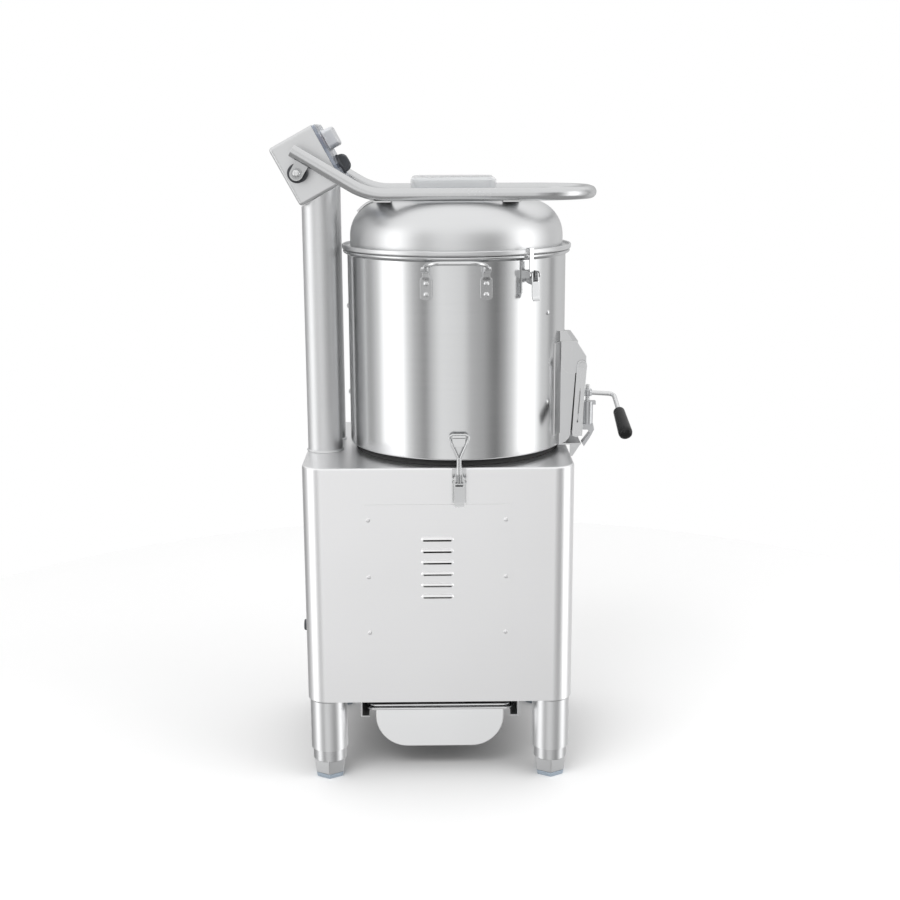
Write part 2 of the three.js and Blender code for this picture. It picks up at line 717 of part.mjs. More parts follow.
// A pressed louvre: half of a capsule whose lower side stays open.
function louvre() {
  const half = LOUVRE_LENGTH / 2 - LOUVRE_RADIUS;
  const capsule = new THREE.CapsuleGeometry(LOUVRE_RADIUS, 2 * half, CAP_STEPS,
    HEAD_ROUND).rotateZ(Math.PI / 2);
  const reach = [-LOUVRE_LENGTH, LOUVRE_LENGTH];
  const behind = block(reach, [PANEL_SHEET / 2, LOUVRE_LENGTH], reach);
  const below = block(reach, reach, [-LOUVRE_LENGTH, -LOUVRE_RADIUS * LOUVRE_LIP_SHARE]);
  const inner = new THREE.CapsuleGeometry(LOUVRE_RADIUS - PANEL_SHEET, 2 * half, CAP_STEPS, HEAD_ROUND);
  return cut(solid(capsule), behind, below, solid(inner.rotateZ(Math.PI / 2)));
}

// Legs stand under the cabinet's corners, concentric with the corner folds.
function legPlaces() {
  const x = CABINET_WIDTH / 2 - CABINET_CORNER;
  const y = CABINET_DEPTH / 2 - CABINET_CORNER;
  return [[-x, -y], [x, -y], [-x, y], [x, y]].map(([dx, dy]) => [dx - CABINET_BEHIND, dy]);
}

function leg(index, [x, y]) {
  const top = UNDERSIDE - SEAT_GAP;
  const bore = LEG_RADIUS - LEG_WALL;
  const stud = FOOT_STUD + SEAT_GAP;
  const tube = turned([[bore, FOOT_SHOW], [LEG_RADIUS, FOOT_SHOW], [LEG_RADIUS, top], [stud, top],
    [stud, top - LEG_CAP], [bore, top - LEG_CAP]], MEDIUM_ROUND);
  return node(`leg_${index}`, tube.translate([x, y, 0]), BRUSHED);
}

// A levelling foot: a stud, a round collar that runs into the leg, a hexagonal shank and a pad.
function levellingFoot(index, [x, y]) {
  const collar = [FOOT_TAPER, FOOT_SHOW + FOOT_INSERT];
  const shank = new THREE.CylinderGeometry(FOOT_HEX_RADIUS, FOOT_BASE_RADIUS, FOOT_TAPER - FOOT_PAD,
    HEX_SIDES);
  const hexagon = solid(shank.rotateY(Math.PI / HEX_SIDES).rotateX(Math.PI / 2).translate(0, 0,
    (FOOT_TAPER + FOOT_PAD) / 2));
  const pad = new THREE.CylinderGeometry(FOOT_BASE_RADIUS, FOOT_BASE_RADIUS - FOOT_CHAMFER, FOOT_PAD,
    HEX_SIDES);
  const base = solid(pad.rotateY(Math.PI / HEX_SIDES).rotateX(Math.PI / 2).translate(0, 0, FOOT_PAD / 2));
  const round = turned([[0, FOOT_TAPER - FOOT_CHAMFER], [FOOT_HEX_RADIUS * HEX_FLAT_SHARE,
    FOOT_TAPER - FOOT_CHAMFER],
    [FOOT_RADIUS, FOOT_TAPER + FOOT_CHAMFER], [FOOT_RADIUS, collar[1]], [0, collar[1]]], MEDIUM_ROUND);
  const stud = post(FOOT_STUD, [collar[1] - WELD_DEPTH, UNDERSIDE - SEAT_GAP - LEG_CAP / 2], SMALL_ROUND);
  const foot = join(hexagon, base, round, stud);
  return node(`levelling_foot_${index}`, foot.translate([x, y, 0]), SATIN);
}

// Waste tray: a deep basin with a rounded belly under a square rim that rides on the rails.
function wasteTray() {
  const rimTop = TRAY_RIM_HEIGHT;
  const outer = basin(TRAY_WIDTH, TRAY_LENGTH, TRAY_DEPTH);
  const inner = basin(TRAY_WIDTH - 2 * TRAY_WALL, TRAY_LENGTH - 2 * TRAY_WALL, TRAY_DEPTH - TRAY_WALL);
  const rim = sheet(roundedRectangle(TRAY_RIM_WIDTH, TRAY_RIM_LENGTH, TRAY_RIM_HEIGHT), [0, rimTop]);
  const mouth = sheet(roundedRectangle(TRAY_WIDTH - 2 * TRAY_WALL, TRAY_LENGTH - 2 * TRAY_WALL,
    TRAY_DEPTH / 2),
    [-WELD_DEPTH, rimTop + OVERRUN]);
  const under = sheet(roundedRectangle(TRAY_RIM_WIDTH - 2 * TRAY_WALL, TRAY_RIM_LENGTH - 2 * TRAY_WALL,
    TRAY_RIM_HEIGHT), [-OVERRUN, rimTop - TRAY_WALL]);
  const collar = sheet(roundedRectangle(TRAY_WIDTH, TRAY_LENGTH, TRAY_DEPTH / 2), [0, rimTop]);
  const tray = cut(join(cut(rim, under), collar, outer), mouth, inner);
  return node('waste_tray', tray.translate([-CABINET_BEHIND, 0, RAIL_FOOT_TOP + SEAT_GAP]), SATIN);
}

// A basin below zero: stacked rounded outlines that draw in towards the floor, joined as one loft.
function basin(width, length, depth) {
  const positions = [];
  for (let i = 0; i <= BASIN_RINGS; i += 1) {
    const fall = Math.sin((i / BASIN_RINGS) * (Math.PI / 2));
    const draw = (1 - TRAY_FLOOR_SHARE) * (1 - Math.cos((i / BASIN_RINGS) * (Math.PI / 2)));
    const outline = roundedRectangle(width * (1 - draw), length - width * draw, depth / 2);
    for (const point of outline.getSpacedPoints(BASIN_ROUND).slice(0, BASIN_ROUND)) {
      positions.push(point.x, point.y, WELD_DEPTH - fall * (depth + WELD_DEPTH));
    }
  }
  return lofted(positions, BASIN_ROUND, BASIN_RINGS);
}

// Closes rings of equal counts into one solid, with a fan over each end.
function lofted(positions, around, rings) {
  const faces = [];
  for (let i = 0; i < rings; i += 1) {
    for (let j = 0; j < around; j += 1) {
      const [a, b] = [i * around + j, i * around + ((j + 1) % around)];
      faces.push(a, b, a + around, b, b + around, a + around);
    }
  }
  for (let j = 1; j < around - 1; j += 1) {
    faces.push(0, j + 1, j);
    faces.push(rings * around, rings * around + j, rings * around + j + 1);
  }
  const geometry = new THREE.BufferGeometry();
  geometry.setAttribute('position', new THREE.Float32BufferAttribute(positions, 3));
  geometry.setIndex(faces);
  return solid(geometry);
}

// A flat outline in Y and Z, given thickness along X.
function sidePlate(outline, [x0, x1]) {
  const plate = new THREE.ExtrudeGeometry(outline, { depth: x1 - x0, bevelEnabled: false,
    curveSegments: OUTLINE_STEPS });
  const turnOver = new THREE.Matrix4().set(0, 0, 1, x0, 1, 0, 0, 0, 0, 1, 0, 0, 0, 0, 0, 1);
  return solid(plate.applyMatrix4(turnOver));
}

// The opening through which peeled potatoes leave, as a cutting tool along X.
function dischargeWindow(from, to) {
  const half = WINDOW_CUT_WIDTH / 2;
  const z = [CABINET_TOP + WINDOW_CUT_BOTTOM, CABINET_TOP + WINDOW_CUT_TOP];
  return block([from, to], [-half, half], z);
}

// Drum: wall, floor and rolled bead, with the heads of the lining's screws and the two latch keepers.
function drumShell() {
  const inner = DRUM_RADIUS - DRUM_WALL;
  const bead = DRUM_RADIUS + DRUM_BEAD;
  const beadBottom = DRUM_TOP - DRUM_BEAD_HEIGHT;
  const wall = turned([[SPINDLE_BORE, DRUM_BOTTOM], [DRUM_RADIUS, DRUM_BOTTOM],
    [DRUM_RADIUS, beadBottom - DRUM_BEAD / 2],
    [bead - DRUM_WALL, beadBottom], [bead, beadBottom + DRUM_WALL], [bead, DRUM_TOP - DRUM_WALL / 2],
    [bead - DRUM_WALL, DRUM_TOP], [inner, DRUM_TOP], [inner, DRUM_BOTTOM + DRUM_FLOOR],
    [SPINDLE_BORE, DRUM_BOTTOM + DRUM_FLOOR]]);
  const heads = [];
  for (const rise of LINER_SCREW_RISES) {
    for (const turn of LINER_SCREW_TURNS) {
      const screw = head(LINER_SCREW_RADIUS, LINER_SCREW_HEIGHT).rotate([0, 90, 0]);
      heads.push(screw.translate([DRUM_RADIUS, 0, DRUM_BOTTOM + rise]).rotate([0, 0, turn]));
    }
  }
  const drain = post(DRAIN_RADIUS - DRAIN_WALL, [DRUM_BOTTOM - OVERRUN, DRUM_BOTTOM + DRUM_FLOOR + OVERRUN],
    SMALL_ROUND, DRAIN_AHEAD, DRAIN_ASIDE);
  const drum = cut(join(wall, ...heads, keeper(), keeper().rotate([0, 0, FULL_TURN / 2])),
    drain, dischargeWindow(inner / 2, bead + OVERRUN));
  return node('drum_shell', drum, BRUSHED);
}

// The hook on the drum that a draw latch's bail pulls on: a plate, a ledge and an upturned lip.
function keeper() {
  const wall = CABINET_DEPTH / 2;
  const barZ = CABINET_TOP - LATCH_PIVOT_DROP - CRANK_DOWN + BAIL_STEM + BAIL_V + BAIL_SIDE + BAIL_TOP;
  const barY = -wall - LATCH_PIVOT_OUT + CRANK_IN + BAIL_LEAN;
  const ledgeTop = barZ - BAIL_WIRE - KEEPER_PLAY;
  const lipIn = barY - BAIL_WIRE - RUNNING_GAP;
  const halves = [-KEEPER_HALF, KEEPER_HALF];
  const plate = block(halves, [-DRUM_RADIUS - KEEPER_SHEET, -DRUM_RADIUS + DRUM_WALL / 2],
    [ledgeTop - KEEPER_HEIGHT, ledgeTop + KEEPER_SHEET]);
  const ledge = block(halves, [lipIn - KEEPER_SHEET, -DRUM_RADIUS], [ledgeTop - KEEPER_SHEET, ledgeTop]);
  const lip = block(halves, [lipIn - KEEPER_SHEET, lipIn], [ledgeTop - KEEPER_SHEET, ledgeTop + KEEPER_LIP]);
  return join(plate, ledge, lip);
}

function drumGasket() {
  const outer = DRUM_RADIUS - GASKET_INSET;
  const z = [CABINET_TOP + SEAT_GAP, DRUM_BOTTOM - SEAT_GAP];
  const ring = turned([[outer - GASKET_BAND, z[0]], [outer, z[0]], [outer, z[1]],
    [outer - GASKET_BAND, z[1]]]);
  return node('drum_gasket', ring, BLACK_RUBBER);
}

function abrasiveLiner() {
  const inner = LINER_RADIUS - LINER_WALL;
  const z = [DRUM_BOTTOM + DRUM_FLOOR + SEAT_GAP, DRUM_TOP - LINER_TOP_INSET];
  const ring = turned([[inner, z[0]], [LINER_RADIUS, z[0]], [LINER_RADIUS, z[1]], [inner, z[1]]]);
  return node('abrasive_liner', cut(ring, dischargeWindow(inner / 2, DRUM_RADIUS + OVERRUN)), GRIT);
}

// Abrasive disc: radial waves above that throw the potatoes, sweeps below that push the peel to the drain.
function abrasiveDisc() {
  const z0 = DRUM_BOTTOM + DISC_RISE;
  const z1 = z0 + DISC_THICKNESS;
  let disc = turned([[0, z0], [DISC_RADIUS, z0], [DISC_RADIUS, z1 - DISC_CHAMFER],
    [DISC_RADIUS - DISC_CHAMFER, z1], [0, z1]]);
  disc = join(disc, post(HUB_RADIUS, [z0 - HUB_DROP, z0 + WELD_DEPTH]));
  const rim = post(DISC_RADIUS - DISC_CHAMFER, [z0 - SWEEP_DROP, z1 + WAVE_RADIUS], LARGE_ROUND);
  for (let i = 0; i < DISC_WAVES; i += 1) {
    const turn = [0, 0, (FULL_TURN * i) / DISC_WAVES];
    const wave = longBar(WAVE_RADIUS, [HUB_RADIUS, DISC_RADIUS], 0, z1 - WAVE_SINK).rotate(turn);
    const sweep = block([HUB_RADIUS - WELD_DEPTH, DISC_RADIUS], [-SWEEP_WIDTH / 2, SWEEP_WIDTH / 2],
      [z0 - SWEEP_DROP, z0 + WELD_DEPTH]).rotate(turn);
    disc = join(disc, wave.intersect(rim), sweep.intersect(rim));
  }
  const bore = post(SPINDLE_RADIUS + SEAT_GAP, [z0 - HUB_DROP - OVERRUN, z1 - SPINDLE_SHORT]);
  return node('abrasive_disc', cut(disc, bore), GRIT);
}

function discSpindle() {
  const top = DRUM_BOTTOM + DISC_RISE + DISC_THICKNESS - SPINDLE_SHORT - SEAT_GAP;
  return node('disc_spindle', post(SPINDLE_RADIUS, [top - SPINDLE_LENGTH, top]), BRUSHED);
}

// Bearing housing: a ribbed barrel that hangs under the cabinet's deck.
function bearingHousing() {
  const top = CABINET_TOP - SHEET - SEAT_GAP;
  const bottom = top - HOUSING_LENGTH;
  const barrel = turned([[SPINDLE_RADIUS + SEAT_GAP, bottom], [HOUSING_RADIUS, bottom],
    [HOUSING_RADIUS, top - HOUSING_FLANGE_HEIGHT], [HOUSING_FLANGE, top - HOUSING_FLANGE_HEIGHT],
    [HOUSING_FLANGE, top], [SPINDLE_RADIUS + SEAT_GAP, top]], MEDIUM_ROUND);
  const ribFoot = top - HOUSING_LENGTH * HOUSING_RIB_SHARE;
  const ribs = [];
  for (let i = 0; i < HOUSING_RIBS; i += 1) {
    const outline = polygon([[SPINDLE_BORE, top - WELD_DEPTH], [HOUSING_FLANGE, top - HOUSING_FLANGE_HEIGHT],
      [HOUSING_RADIUS, ribFoot], [SPINDLE_BORE, ribFoot]]);
    const rib = slab(outline, [-HOUSING_RIB_WIDTH / 2, HOUSING_RIB_WIDTH / 2]);
    ribs.push(rib.rotate([0, 0, HOUSING_RIB_TURN + (FULL_TURN * i) / HOUSING_RIBS]));
  }
  return node('bearing_housing', join(barrel, ...ribs), CAST);
}

// The profile of a pulley rim with its groove, from the outer foot up to the outer top.
function grooved(radius, z0, z1) {
  const half = BELT_WIDTH / 2 + SEAT_GAP;
  const middle = (z0 + z1) / 2;
  const root = radius - GROOVE_DEPTH;
  return [[radius, z0], [radius, middle - half], [root, middle - half], [root, middle + half],
    [radius, middle + half], [radius, z1]];
}

function drivenPulley() {
  const [z0, z1] = [PULLEY_TOP - PULLEY_WIDTH, PULLEY_TOP];
  const bore = SPINDLE_RADIUS + SEAT_GAP;
  const rim = PULLEY_RADIUS - GROOVE_DEPTH - PULLEY_WEB;
  const [low, high] = [(z0 + z1 - PULLEY_WEB) / 2, (z0 + z1 + PULLEY_WEB) / 2];
  const wheel = turned([[bore, z0], [PULLEY_HUB, z0], [PULLEY_HUB, low], [rim, low], [rim, z0],
    ...grooved(PULLEY_RADIUS, z0, z1), [rim, z1], [rim, high], [PULLEY_HUB, high], [PULLEY_HUB, z1],
    [bore, z1]],
    MEDIUM_ROUND);
  const holes = [];
  const middle = (PULLEY_HUB + rim) / 2;
  for (let i = 0; i < PULLEY_HOLES; i += 1) {
    const hole = post((rim - PULLEY_HUB) * PULLEY_HOLE_SHARE, [z0, z1], HEAD_ROUND, middle);
    holes.push(hole.rotate([0, 0, (FULL_TURN * i) / PULLEY_HOLES]));
  }
  return node('driven_pulley', cut(wheel, ...holes), CAST);
}

function motorPulley() {
  const [z0, z1] = [PULLEY_TOP - PULLEY_WIDTH, PULLEY_TOP];
  const top = z1 + BRACKET_RAISE + BRACKET_PLATE + SEAT_GAP + MOTOR_SHAFT_SUNK;
  const wheel = turned([[0, z0], ...grooved(MOTOR_PULLEY_RADIUS, z0, z1), [MOTOR_SHAFT, z1],
    [MOTOR_SHAFT, top],
    [0, top]], MEDIUM_ROUND);
  return node('motor_pulley', wheel, CAST);
}

// The belt lies in both grooves: an outline round two pulleys less the same outline drawn in.
function driveBelt() {
  const middle = PULLEY_TOP - PULLEY_WIDTH / 2;
  const z = [middle - BELT_WIDTH / 2, middle + BELT_WIDTH / 2];
  const thickness = GROOVE_DEPTH * BELT_SHARE;
  const round = (grow) => strapOutline([0, 0, PULLEY_RADIUS - GROOVE_DEPTH + SEAT_GAP + grow],
    [-MOTOR_BEHIND, 0, MOTOR_PULLEY_RADIUS - GROOVE_DEPTH + SEAT_GAP + grow]);
  const outer = sheet(round(thickness), z, BELT_STEPS);
  const inner = sheet(round(0), [z[0] - OVERRUN, z[1] + OVERRUN], BELT_STEPS);
  return node('drive_belt', cut(outer, inner), BLACK_RUBBER);
}

// Motor: finned barrel between two end bells, with its terminal box on top.
function motor() {
  const z0 = PULLEY_TOP + BRACKET_RAISE + BRACKET_PLATE + SEAT_GAP;
  const z1 = z0 + MOTOR_HEIGHT;
  const body = turned([[0, z0], [MOTOR_RADIUS * MOTOR_NOSE_SHARE, z0], [MOTOR_RADIUS, z0 + MOTOR_BELL],
    [MOTOR_RADIUS, z1 - MOTOR_BELL],
    [MOTOR_RADIUS * MOTOR_NOSE_SHARE, z1], [0, z1]], MEDIUM_ROUND);
  const points = [];
  for (let i = 0; i < MOTOR_FINS; i += 1) {
    for (const [share, radius] of MOTOR_FIN_SHARES) {
      const turn = (2 * Math.PI * (i + share)) / MOTOR_FINS;
      const reach = MOTOR_RADIUS - WELD_DEPTH + radius * (MOTOR_FIN_DEPTH + WELD_DEPTH);
      points.push([reach * Math.cos(turn), reach * Math.sin(turn)]);
    }
  }
  const fins = sheet(polygon(points), [z0 + MOTOR_BELL, z1 - MOTOR_BELL]);
  const terminals = block([-TERMINAL_HALF, TERMINAL_HALF], [-TERMINAL_HALF, TERMINAL_HALF],
    [z1 - WELD_DEPTH, z1 + TERMINAL_HALF]);
  const bore = post(MOTOR_SHAFT + SEAT_GAP, [z0 - OVERRUN, z0 + MOTOR_SHAFT_SUNK + SEAT_GAP]);
  return node('motor', cut(join(body, fins, terminals), bore).translate([-MOTOR_BEHIND, 0, 0]), MOTOR_PAINT);
}

// A cradle of folded plate that hangs the motor from the deck.
function motorBracket() {
  const z0 = PULLEY_TOP + BRACKET_RAISE;
  const top = CABINET_TOP - SHEET - SEAT_GAP;
  const half = MOTOR_RADIUS + MOTOR_FIN_DEPTH + BRACKET_PLATE;
  const x = [-BRACKET_LENGTH / 2, BRACKET_LENGTH / 2];
  let cradle = block(x, [-half, half], [z0, z0 + BRACKET_PLATE]);
  for (const side of [-1, 1]) {
    const limits = (a, b) => [side * a, side * b].sort((p, q) => p - q);
    cradle = join(cradle, block(x, limits(half - BRACKET_PLATE / 2, half + BRACKET_PLATE / 2), [z0, top]),
      block(x, limits(half, half + BRACKET_LIP), [top - BRACKET_PLATE, top]));
  }
  const hole = post(BRACKET_BORE, [z0 - OVERRUN, z0 + BRACKET_PLATE + OVERRUN]);
  return node('motor_bracket', cut(cradle, hole).translate([-MOTOR_BEHIND, 0, 0]), BRUSHED);
}

function drainPipe() {
  const z0 = RAIL_FOOT_TOP + SEAT_GAP + TRAY_RIM_HEIGHT + DRAIN_ABOVE_TRAY;
  const z1 = DRUM_BOTTOM - SEAT_GAP;
  const inner = DRAIN_RADIUS - DRAIN_WALL;
  const pipe = turned([[inner, z0], [DRAIN_RADIUS, z0], [DRAIN_RADIUS, z1], [inner, z1]], MEDIUM_ROUND);
  return node('drain_pipe', pipe.translate([DRAIN_AHEAD, DRAIN_ASIDE, 0]), BLACK_PLASTIC);
}

// Cable gland in the back wall: a dome nut outside, a thread through the sheet and a lock nut inside.
function cableGland() {
  const stem = GLAND_NUT - SEAT_GAP;
  const lock = SHEET + SEAT_GAP;
  const body = turned([[GLAND_HOLE, -GLAND_LENGTH], [GLAND_RADIUS * GLAND_NOSE_SHARE, -GLAND_LENGTH],
    [GLAND_RADIUS, -GLAND_LENGTH / 2], [GLAND_RADIUS, -SEAT_GAP], [stem, -SEAT_GAP], [stem, lock],
    [GLAND_RADIUS, lock], [GLAND_RADIUS, lock + GLAND_HOLE], [GLAND_HOLE, lock + GLAND_HOLE]], MEDIUM_ROUND);
  const place = [-CABINET_BEHIND - CABINET_WIDTH / 2, 0, UNDERSIDE + GLAND_HEIGHT];
  return node('cable_gland', body.rotate([0, 90, 0]).translate(place), BLACK_PLASTIC);
}

// Posts: tubes welded to the deck whose tops are mitred to the tilted control box.
function supportPost(name, side) {
  const inner = POST_RADIUS - POST_WALL;
  const z0 = CABINET_TOP + SEAT_GAP;
  const tube = turned([[inner, z0], [POST_RADIUS + POST_WELD, z0], [POST_RADIUS, z0 + POST_WELD],
    [POST_RADIUS, BOX_CENTRE_Z], [inner, BOX_CENTRE_Z]], MEDIUM_ROUND);
  const reach = [-BOX_WIDTH, BOX_WIDTH];
  const above = block(reach, reach, [-BOX_HEIGHT / 2 - SEAT_GAP, BOX_HEIGHT])
    .rotate([0, -BOX_TILT, 0]).translate([BOX_CENTRE_X, 0, BOX_CENTRE_Z]);
  const placed = tube.translate([-POST_BEHIND, (side * POST_SPREAD) / 2, 0]);
  return node(name, cut(placed, above), BRUSHED);
}

// Control box, in its own frame: X out of the panel, Z up the panel, Y across.
function controlBox() {
  const half = [BOX_DEPTH / 2, BOX_WIDTH / 2, BOX_HEIGHT / 2];
  const shell = slab(roundedRectangle(BOX_DEPTH, BOX_HEIGHT, BOX_ROUND), [-half[1], half[1]]);
  const room = block([-half[0] + SHEET, half[0] + OVERRUN], [-half[1] + SHEET, half[1] - SHEET],
    [-half[2] + SHEET, half[2] - SHEET]);
  return node('control_box', cut(shell, room), SATIN);
}

// Holes that the knob's shaft and the two push buttons need, through whatever covers the box's front.
function panelHoles(from, to) {
  const holes = [longBar(KNOB_SHAFT + SEAT_GAP, [from, to], 0, -KNOB_DROP)];
  for (const side of [-1, 1]) {
    holes.push(longBar(BUTTON_RADIUS + SEAT_GAP, [from, to], (side * BUTTON_SPREAD) / 2, BOOT_RISE,
      MEDIUM_ROUND));
  }
  return holes;
}

function controlFascia() {
  const x = [BOX_DEPTH / 2 - FASCIA_THICKNESS, BOX_DEPTH / 2];
  const y = BOX_WIDTH / 2 - SHEET - SEAT_GAP;
  const z = BOX_HEIGHT / 2 - SHEET - SEAT_GAP;
  const plate = cut(block(x, [-y, y], [-z, z]), ...panelHoles(x[0] - OVERRUN, x[1] + OVERRUN));
  return node('control_fascia', plate, SATIN);
}

function clearCover() {
  const x = [BOX_DEPTH / 2 + SEAT_GAP, BOX_DEPTH / 2 + SEAT_GAP + COVER_THICKNESS];
  const outline = roundedRectangle(BOX_WIDTH - 2 * COVER_INSET, BOX_HEIGHT - 2 * COVER_INSET, COVER_ROUND);
  const plate = cut(sidePlate(outline, x), ...panelHoles(x[0] - OVERRUN, x[1] + OVERRUN));
  return node('clear_cover', plate, CLEAR_PLASTIC);
}

function timerBody() {
  const back = BOX_DEPTH / 2 - FASCIA_THICKNESS - SEAT_GAP;
  const half = TIMER_SIZE / 2;
  const lift = -BOX_HEIGHT / 2 + SHEET + SEAT_GAP;
  const body = block([back - TIMER_DEPTH, back], [-half, half], [lift, lift + TIMER_SIZE]);
  const bore = longBar(KNOB_SHAFT + SEAT_GAP, [back - TIMER_DEPTH / 2, back + OVERRUN], 0, -KNOB_DROP);
  return node('timer_body', cut(body, bore), WHITE_PLASTIC);
}

// Timer knob: a skirt, a domed grip with a pointer rib, and the shaft that runs into the timer.
function timerKnob() {
  const base = BOX_DEPTH / 2 + COVER_THICKNESS + 2 * SEAT_GAP;
  const back = BOX_DEPTH / 2 - FASCIA_THICKNESS - TIMER_DEPTH / 2 + 2 * SEAT_GAP;
  const dome = KNOB_HEIGHT - KNOB_SKIRT;
  const profile = [[0, 0], [KNOB_RADIUS, 0], [KNOB_RADIUS, KNOB_SKIRT]];
  for (let i = 0; i <= ARC_STEPS; i += 1) {
    const turn = (i / ARC_STEPS) * (Math.PI / 2);
    profile.push([KNOB_RADIUS * KNOB_CROWN_SHARE * Math.cos(turn) ** KNOB_CURVE_SHARE,
      KNOB_SKIRT + dome * Math.sin(turn)]);
  }
  const body = turned(profile, MEDIUM_ROUND).rotate([0, 90, 0]).translate([base, 0, -KNOB_DROP]);
  const shaft = longBar(KNOB_SHAFT, [back, base + WELD_DEPTH], 0, -KNOB_DROP);
  const flank = (side) => block([base + KNOB_SKIRT, base + KNOB_HEIGHT + OVERRUN],
    KNOB_SCOOP_SHARES.map((share) => side * share * KNOB_RADIUS).sort((a, b) => a - b),
    [-KNOB_DROP - KNOB_RADIUS, -KNOB_DROP + KNOB_RADIUS]);
  return node('timer_knob', cut(join(body, shaft), flank(-1), flank(1)), BLACK_PLASTIC);
}

// A push button; its stem ends on the contact block behind the panel.
function pushButton(name, side, material) {
  const face = BOX_DEPTH / 2 + COVER_THICKNESS + SEAT_GAP + BUTTON_SHOW;
  const back = BOX_DEPTH / 2 - FASCIA_THICKNESS + SEAT_GAP;
  const y = (side * BUTTON_SPREAD) / 2;
  const cap = turned([[0, 0], [BUTTON_RADIUS, 0], [BUTTON_RADIUS, face - back - BUTTON_EDGE],
    [BUTTON_RADIUS - BUTTON_EDGE, face - back], [0, face - back]], MEDIUM_ROUND);
  return node(name, cap.rotate([0, 90, 0]).translate([back, y, BOOT_RISE]), material);
}

// The contact block is recessed so that the buttons can travel into it.
function switchBlock() {
  const back = BOX_DEPTH / 2 - FASCIA_THICKNESS - SEAT_GAP;
  const half = [BUTTON_SPREAD / 2 + BUTTON_RADIUS + BUTTON_TRAVEL, BUTTON_RADIUS + BUTTON_TRAVEL];
  const body = block([back - SWITCH_DEPTH, back], [-half[0], half[0]],
    [BOOT_RISE - half[1], BOOT_RISE + half[1]]);
  const wells = [-1, 1].map((side) => longBar(BUTTON_RADIUS + RUNNING_GAP,
    [back - BUTTON_TRAVEL - RUNNING_GAP, back + OVERRUN], (side * BUTTON_SPREAD) / 2, BOOT_RISE));
  return node('switch_block', cut(body, ...wells), BLACK_PLASTIC);
}

// The soft clear boot over both buttons: a rounded cap with a flange, open underneath.
function switchBoot() {
  const base = BOX_DEPTH / 2 + COVER_THICKNESS + 2 * SEAT_GAP;
  const cap = foldedBlock(BOOT_WIDTH, BOOT_HEIGHT, BOOT_DEPTH, BOOT_ROUND, BOOT_ROUND / 2);
  const room = foldedBlock(BOOT_WIDTH - 2 * BOOT_WALL, BOOT_HEIGHT - 2 * BOOT_WALL, BOOT_DEPTH - BOOT_WALL,
    BOOT_ROUND - BOOT_WALL, BOOT_ROUND / 2);
  const flange = sheet(roundedRectangle(BOOT_WIDTH + BOOT_FLANGE, BOOT_HEIGHT + BOOT_FLANGE, BOOT_ROUND),
    [0, BOOT_WALL]);
  const sole = sheet(roundedRectangle(BOOT_WIDTH - BOOT_FLANGE, BOOT_HEIGHT - BOOT_FLANGE,
    BOOT_ROUND - BOOT_WALL),
    [-OVERRUN, BOOT_FLANGE]);
  const boot = cut(join(cap, flange), room, sole);
  return node('switch_boot', boot.rotate([0, 0, 90]).rotate([0, 90, 0]).translate([base, 0, BOOT_RISE]),
    WHITE_PLASTIC);
}

// Lid: a rolled rim, an upright wall, a quarter-round shoulder and a flat top under the window.
function lidDome() {
  const z0 = DRUM_TOP + SEAT_GAP;
  const shoulderZ = LID_TOP - LID_SHOULDER;
  const flat = LID_RADIUS - LID_SHOULDER;
  const arc = (radius, turn) => [flat + radius * Math.cos(turn), shoulderZ + radius * Math.sin(turn)];
  const profile = [[LID_RADIUS - LID_WALL, z0], [LID_RIM_RADIUS - LID_WALL, z0],
    [LID_RIM_RADIUS, z0 + LID_WALL],
    [LID_RIM_RADIUS, z0 + LID_RIM_HEIGHT - LID_WALL], [LID_RIM_RADIUS - LID_WALL, z0 + LID_RIM_HEIGHT],
    [LID_RIM_RADIUS - LID_RIM_BAND, z0 + LID_RIM_HEIGHT], [LID_RIM_RADIUS - LID_RIM_BAND, z0 + LID_WALL],
    [LID_RADIUS, z0 + LID_WALL]];
  for (let i = 0; i <= ARC_STEPS; i += 1) profile.push(arc(LID_SHOULDER, ((i / ARC_STEPS) * Math.PI) / 2));
  profile.push([0, LID_TOP], [0, LID_TOP - LID_WALL]);
  for (let i = ARC_STEPS; i >= 0; i -= 1) profile.push(arc(LID_SHOULDER - LID_WALL,
    ((i / ARC_STEPS) * Math.PI) / 2));
  const lap = 2 * WINDOW_LAP;
  const opening = sheet(roundedRectangle(WINDOW_LENGTH - lap, WINDOW_WIDTH - lap, WINDOW_HOLE_ROUND),
    [LID_TOP - OVERRUN, LID_TOP + OVERRUN]).translate([-WINDOW_BEHIND, 0, 0]);
  const notch = block([LID_RADIUS + LID_RIM_BAND, LID_RIM_RADIUS + OVERRUN],
    [-LID_NOTCH_HALF, LID_NOTCH_HALF],
    [z0 - OVERRUN, z0 + LID_RIM_HEIGHT + OVERRUN]).rotate([0, 0, LID_LATCH_TURN]);
  return node('lid_dome', cut(turned(profile), opening, notch), BRUSHED);
}

function lidWindow() {
  const wall = 2 * WINDOW_WALL;
  const hood = foldedBlock(WINDOW_LENGTH, WINDOW_WIDTH, WINDOW_HEIGHT, WINDOW_ROUND, WINDOW_FOLD);
  const room = foldedBlock(WINDOW_LENGTH - wall, WINDOW_WIDTH - wall, WINDOW_HEIGHT - WINDOW_WALL,
    WINDOW_ROUND - WINDOW_WALL, WINDOW_FOLD - WINDOW_WALL / 2);
  const mouth = sheet(roundedRectangle(WINDOW_LENGTH - wall, WINDOW_WIDTH - wall, WINDOW_ROUND - WINDOW_WALL),
    [-OVERRUN, OVERRUN]);
  const place = [-WINDOW_BEHIND, 0, LID_TOP + SEAT_GAP];
  return node('lid_window', cut(hood, room, mouth).translate(place), CLEAR_PLASTIC);
}

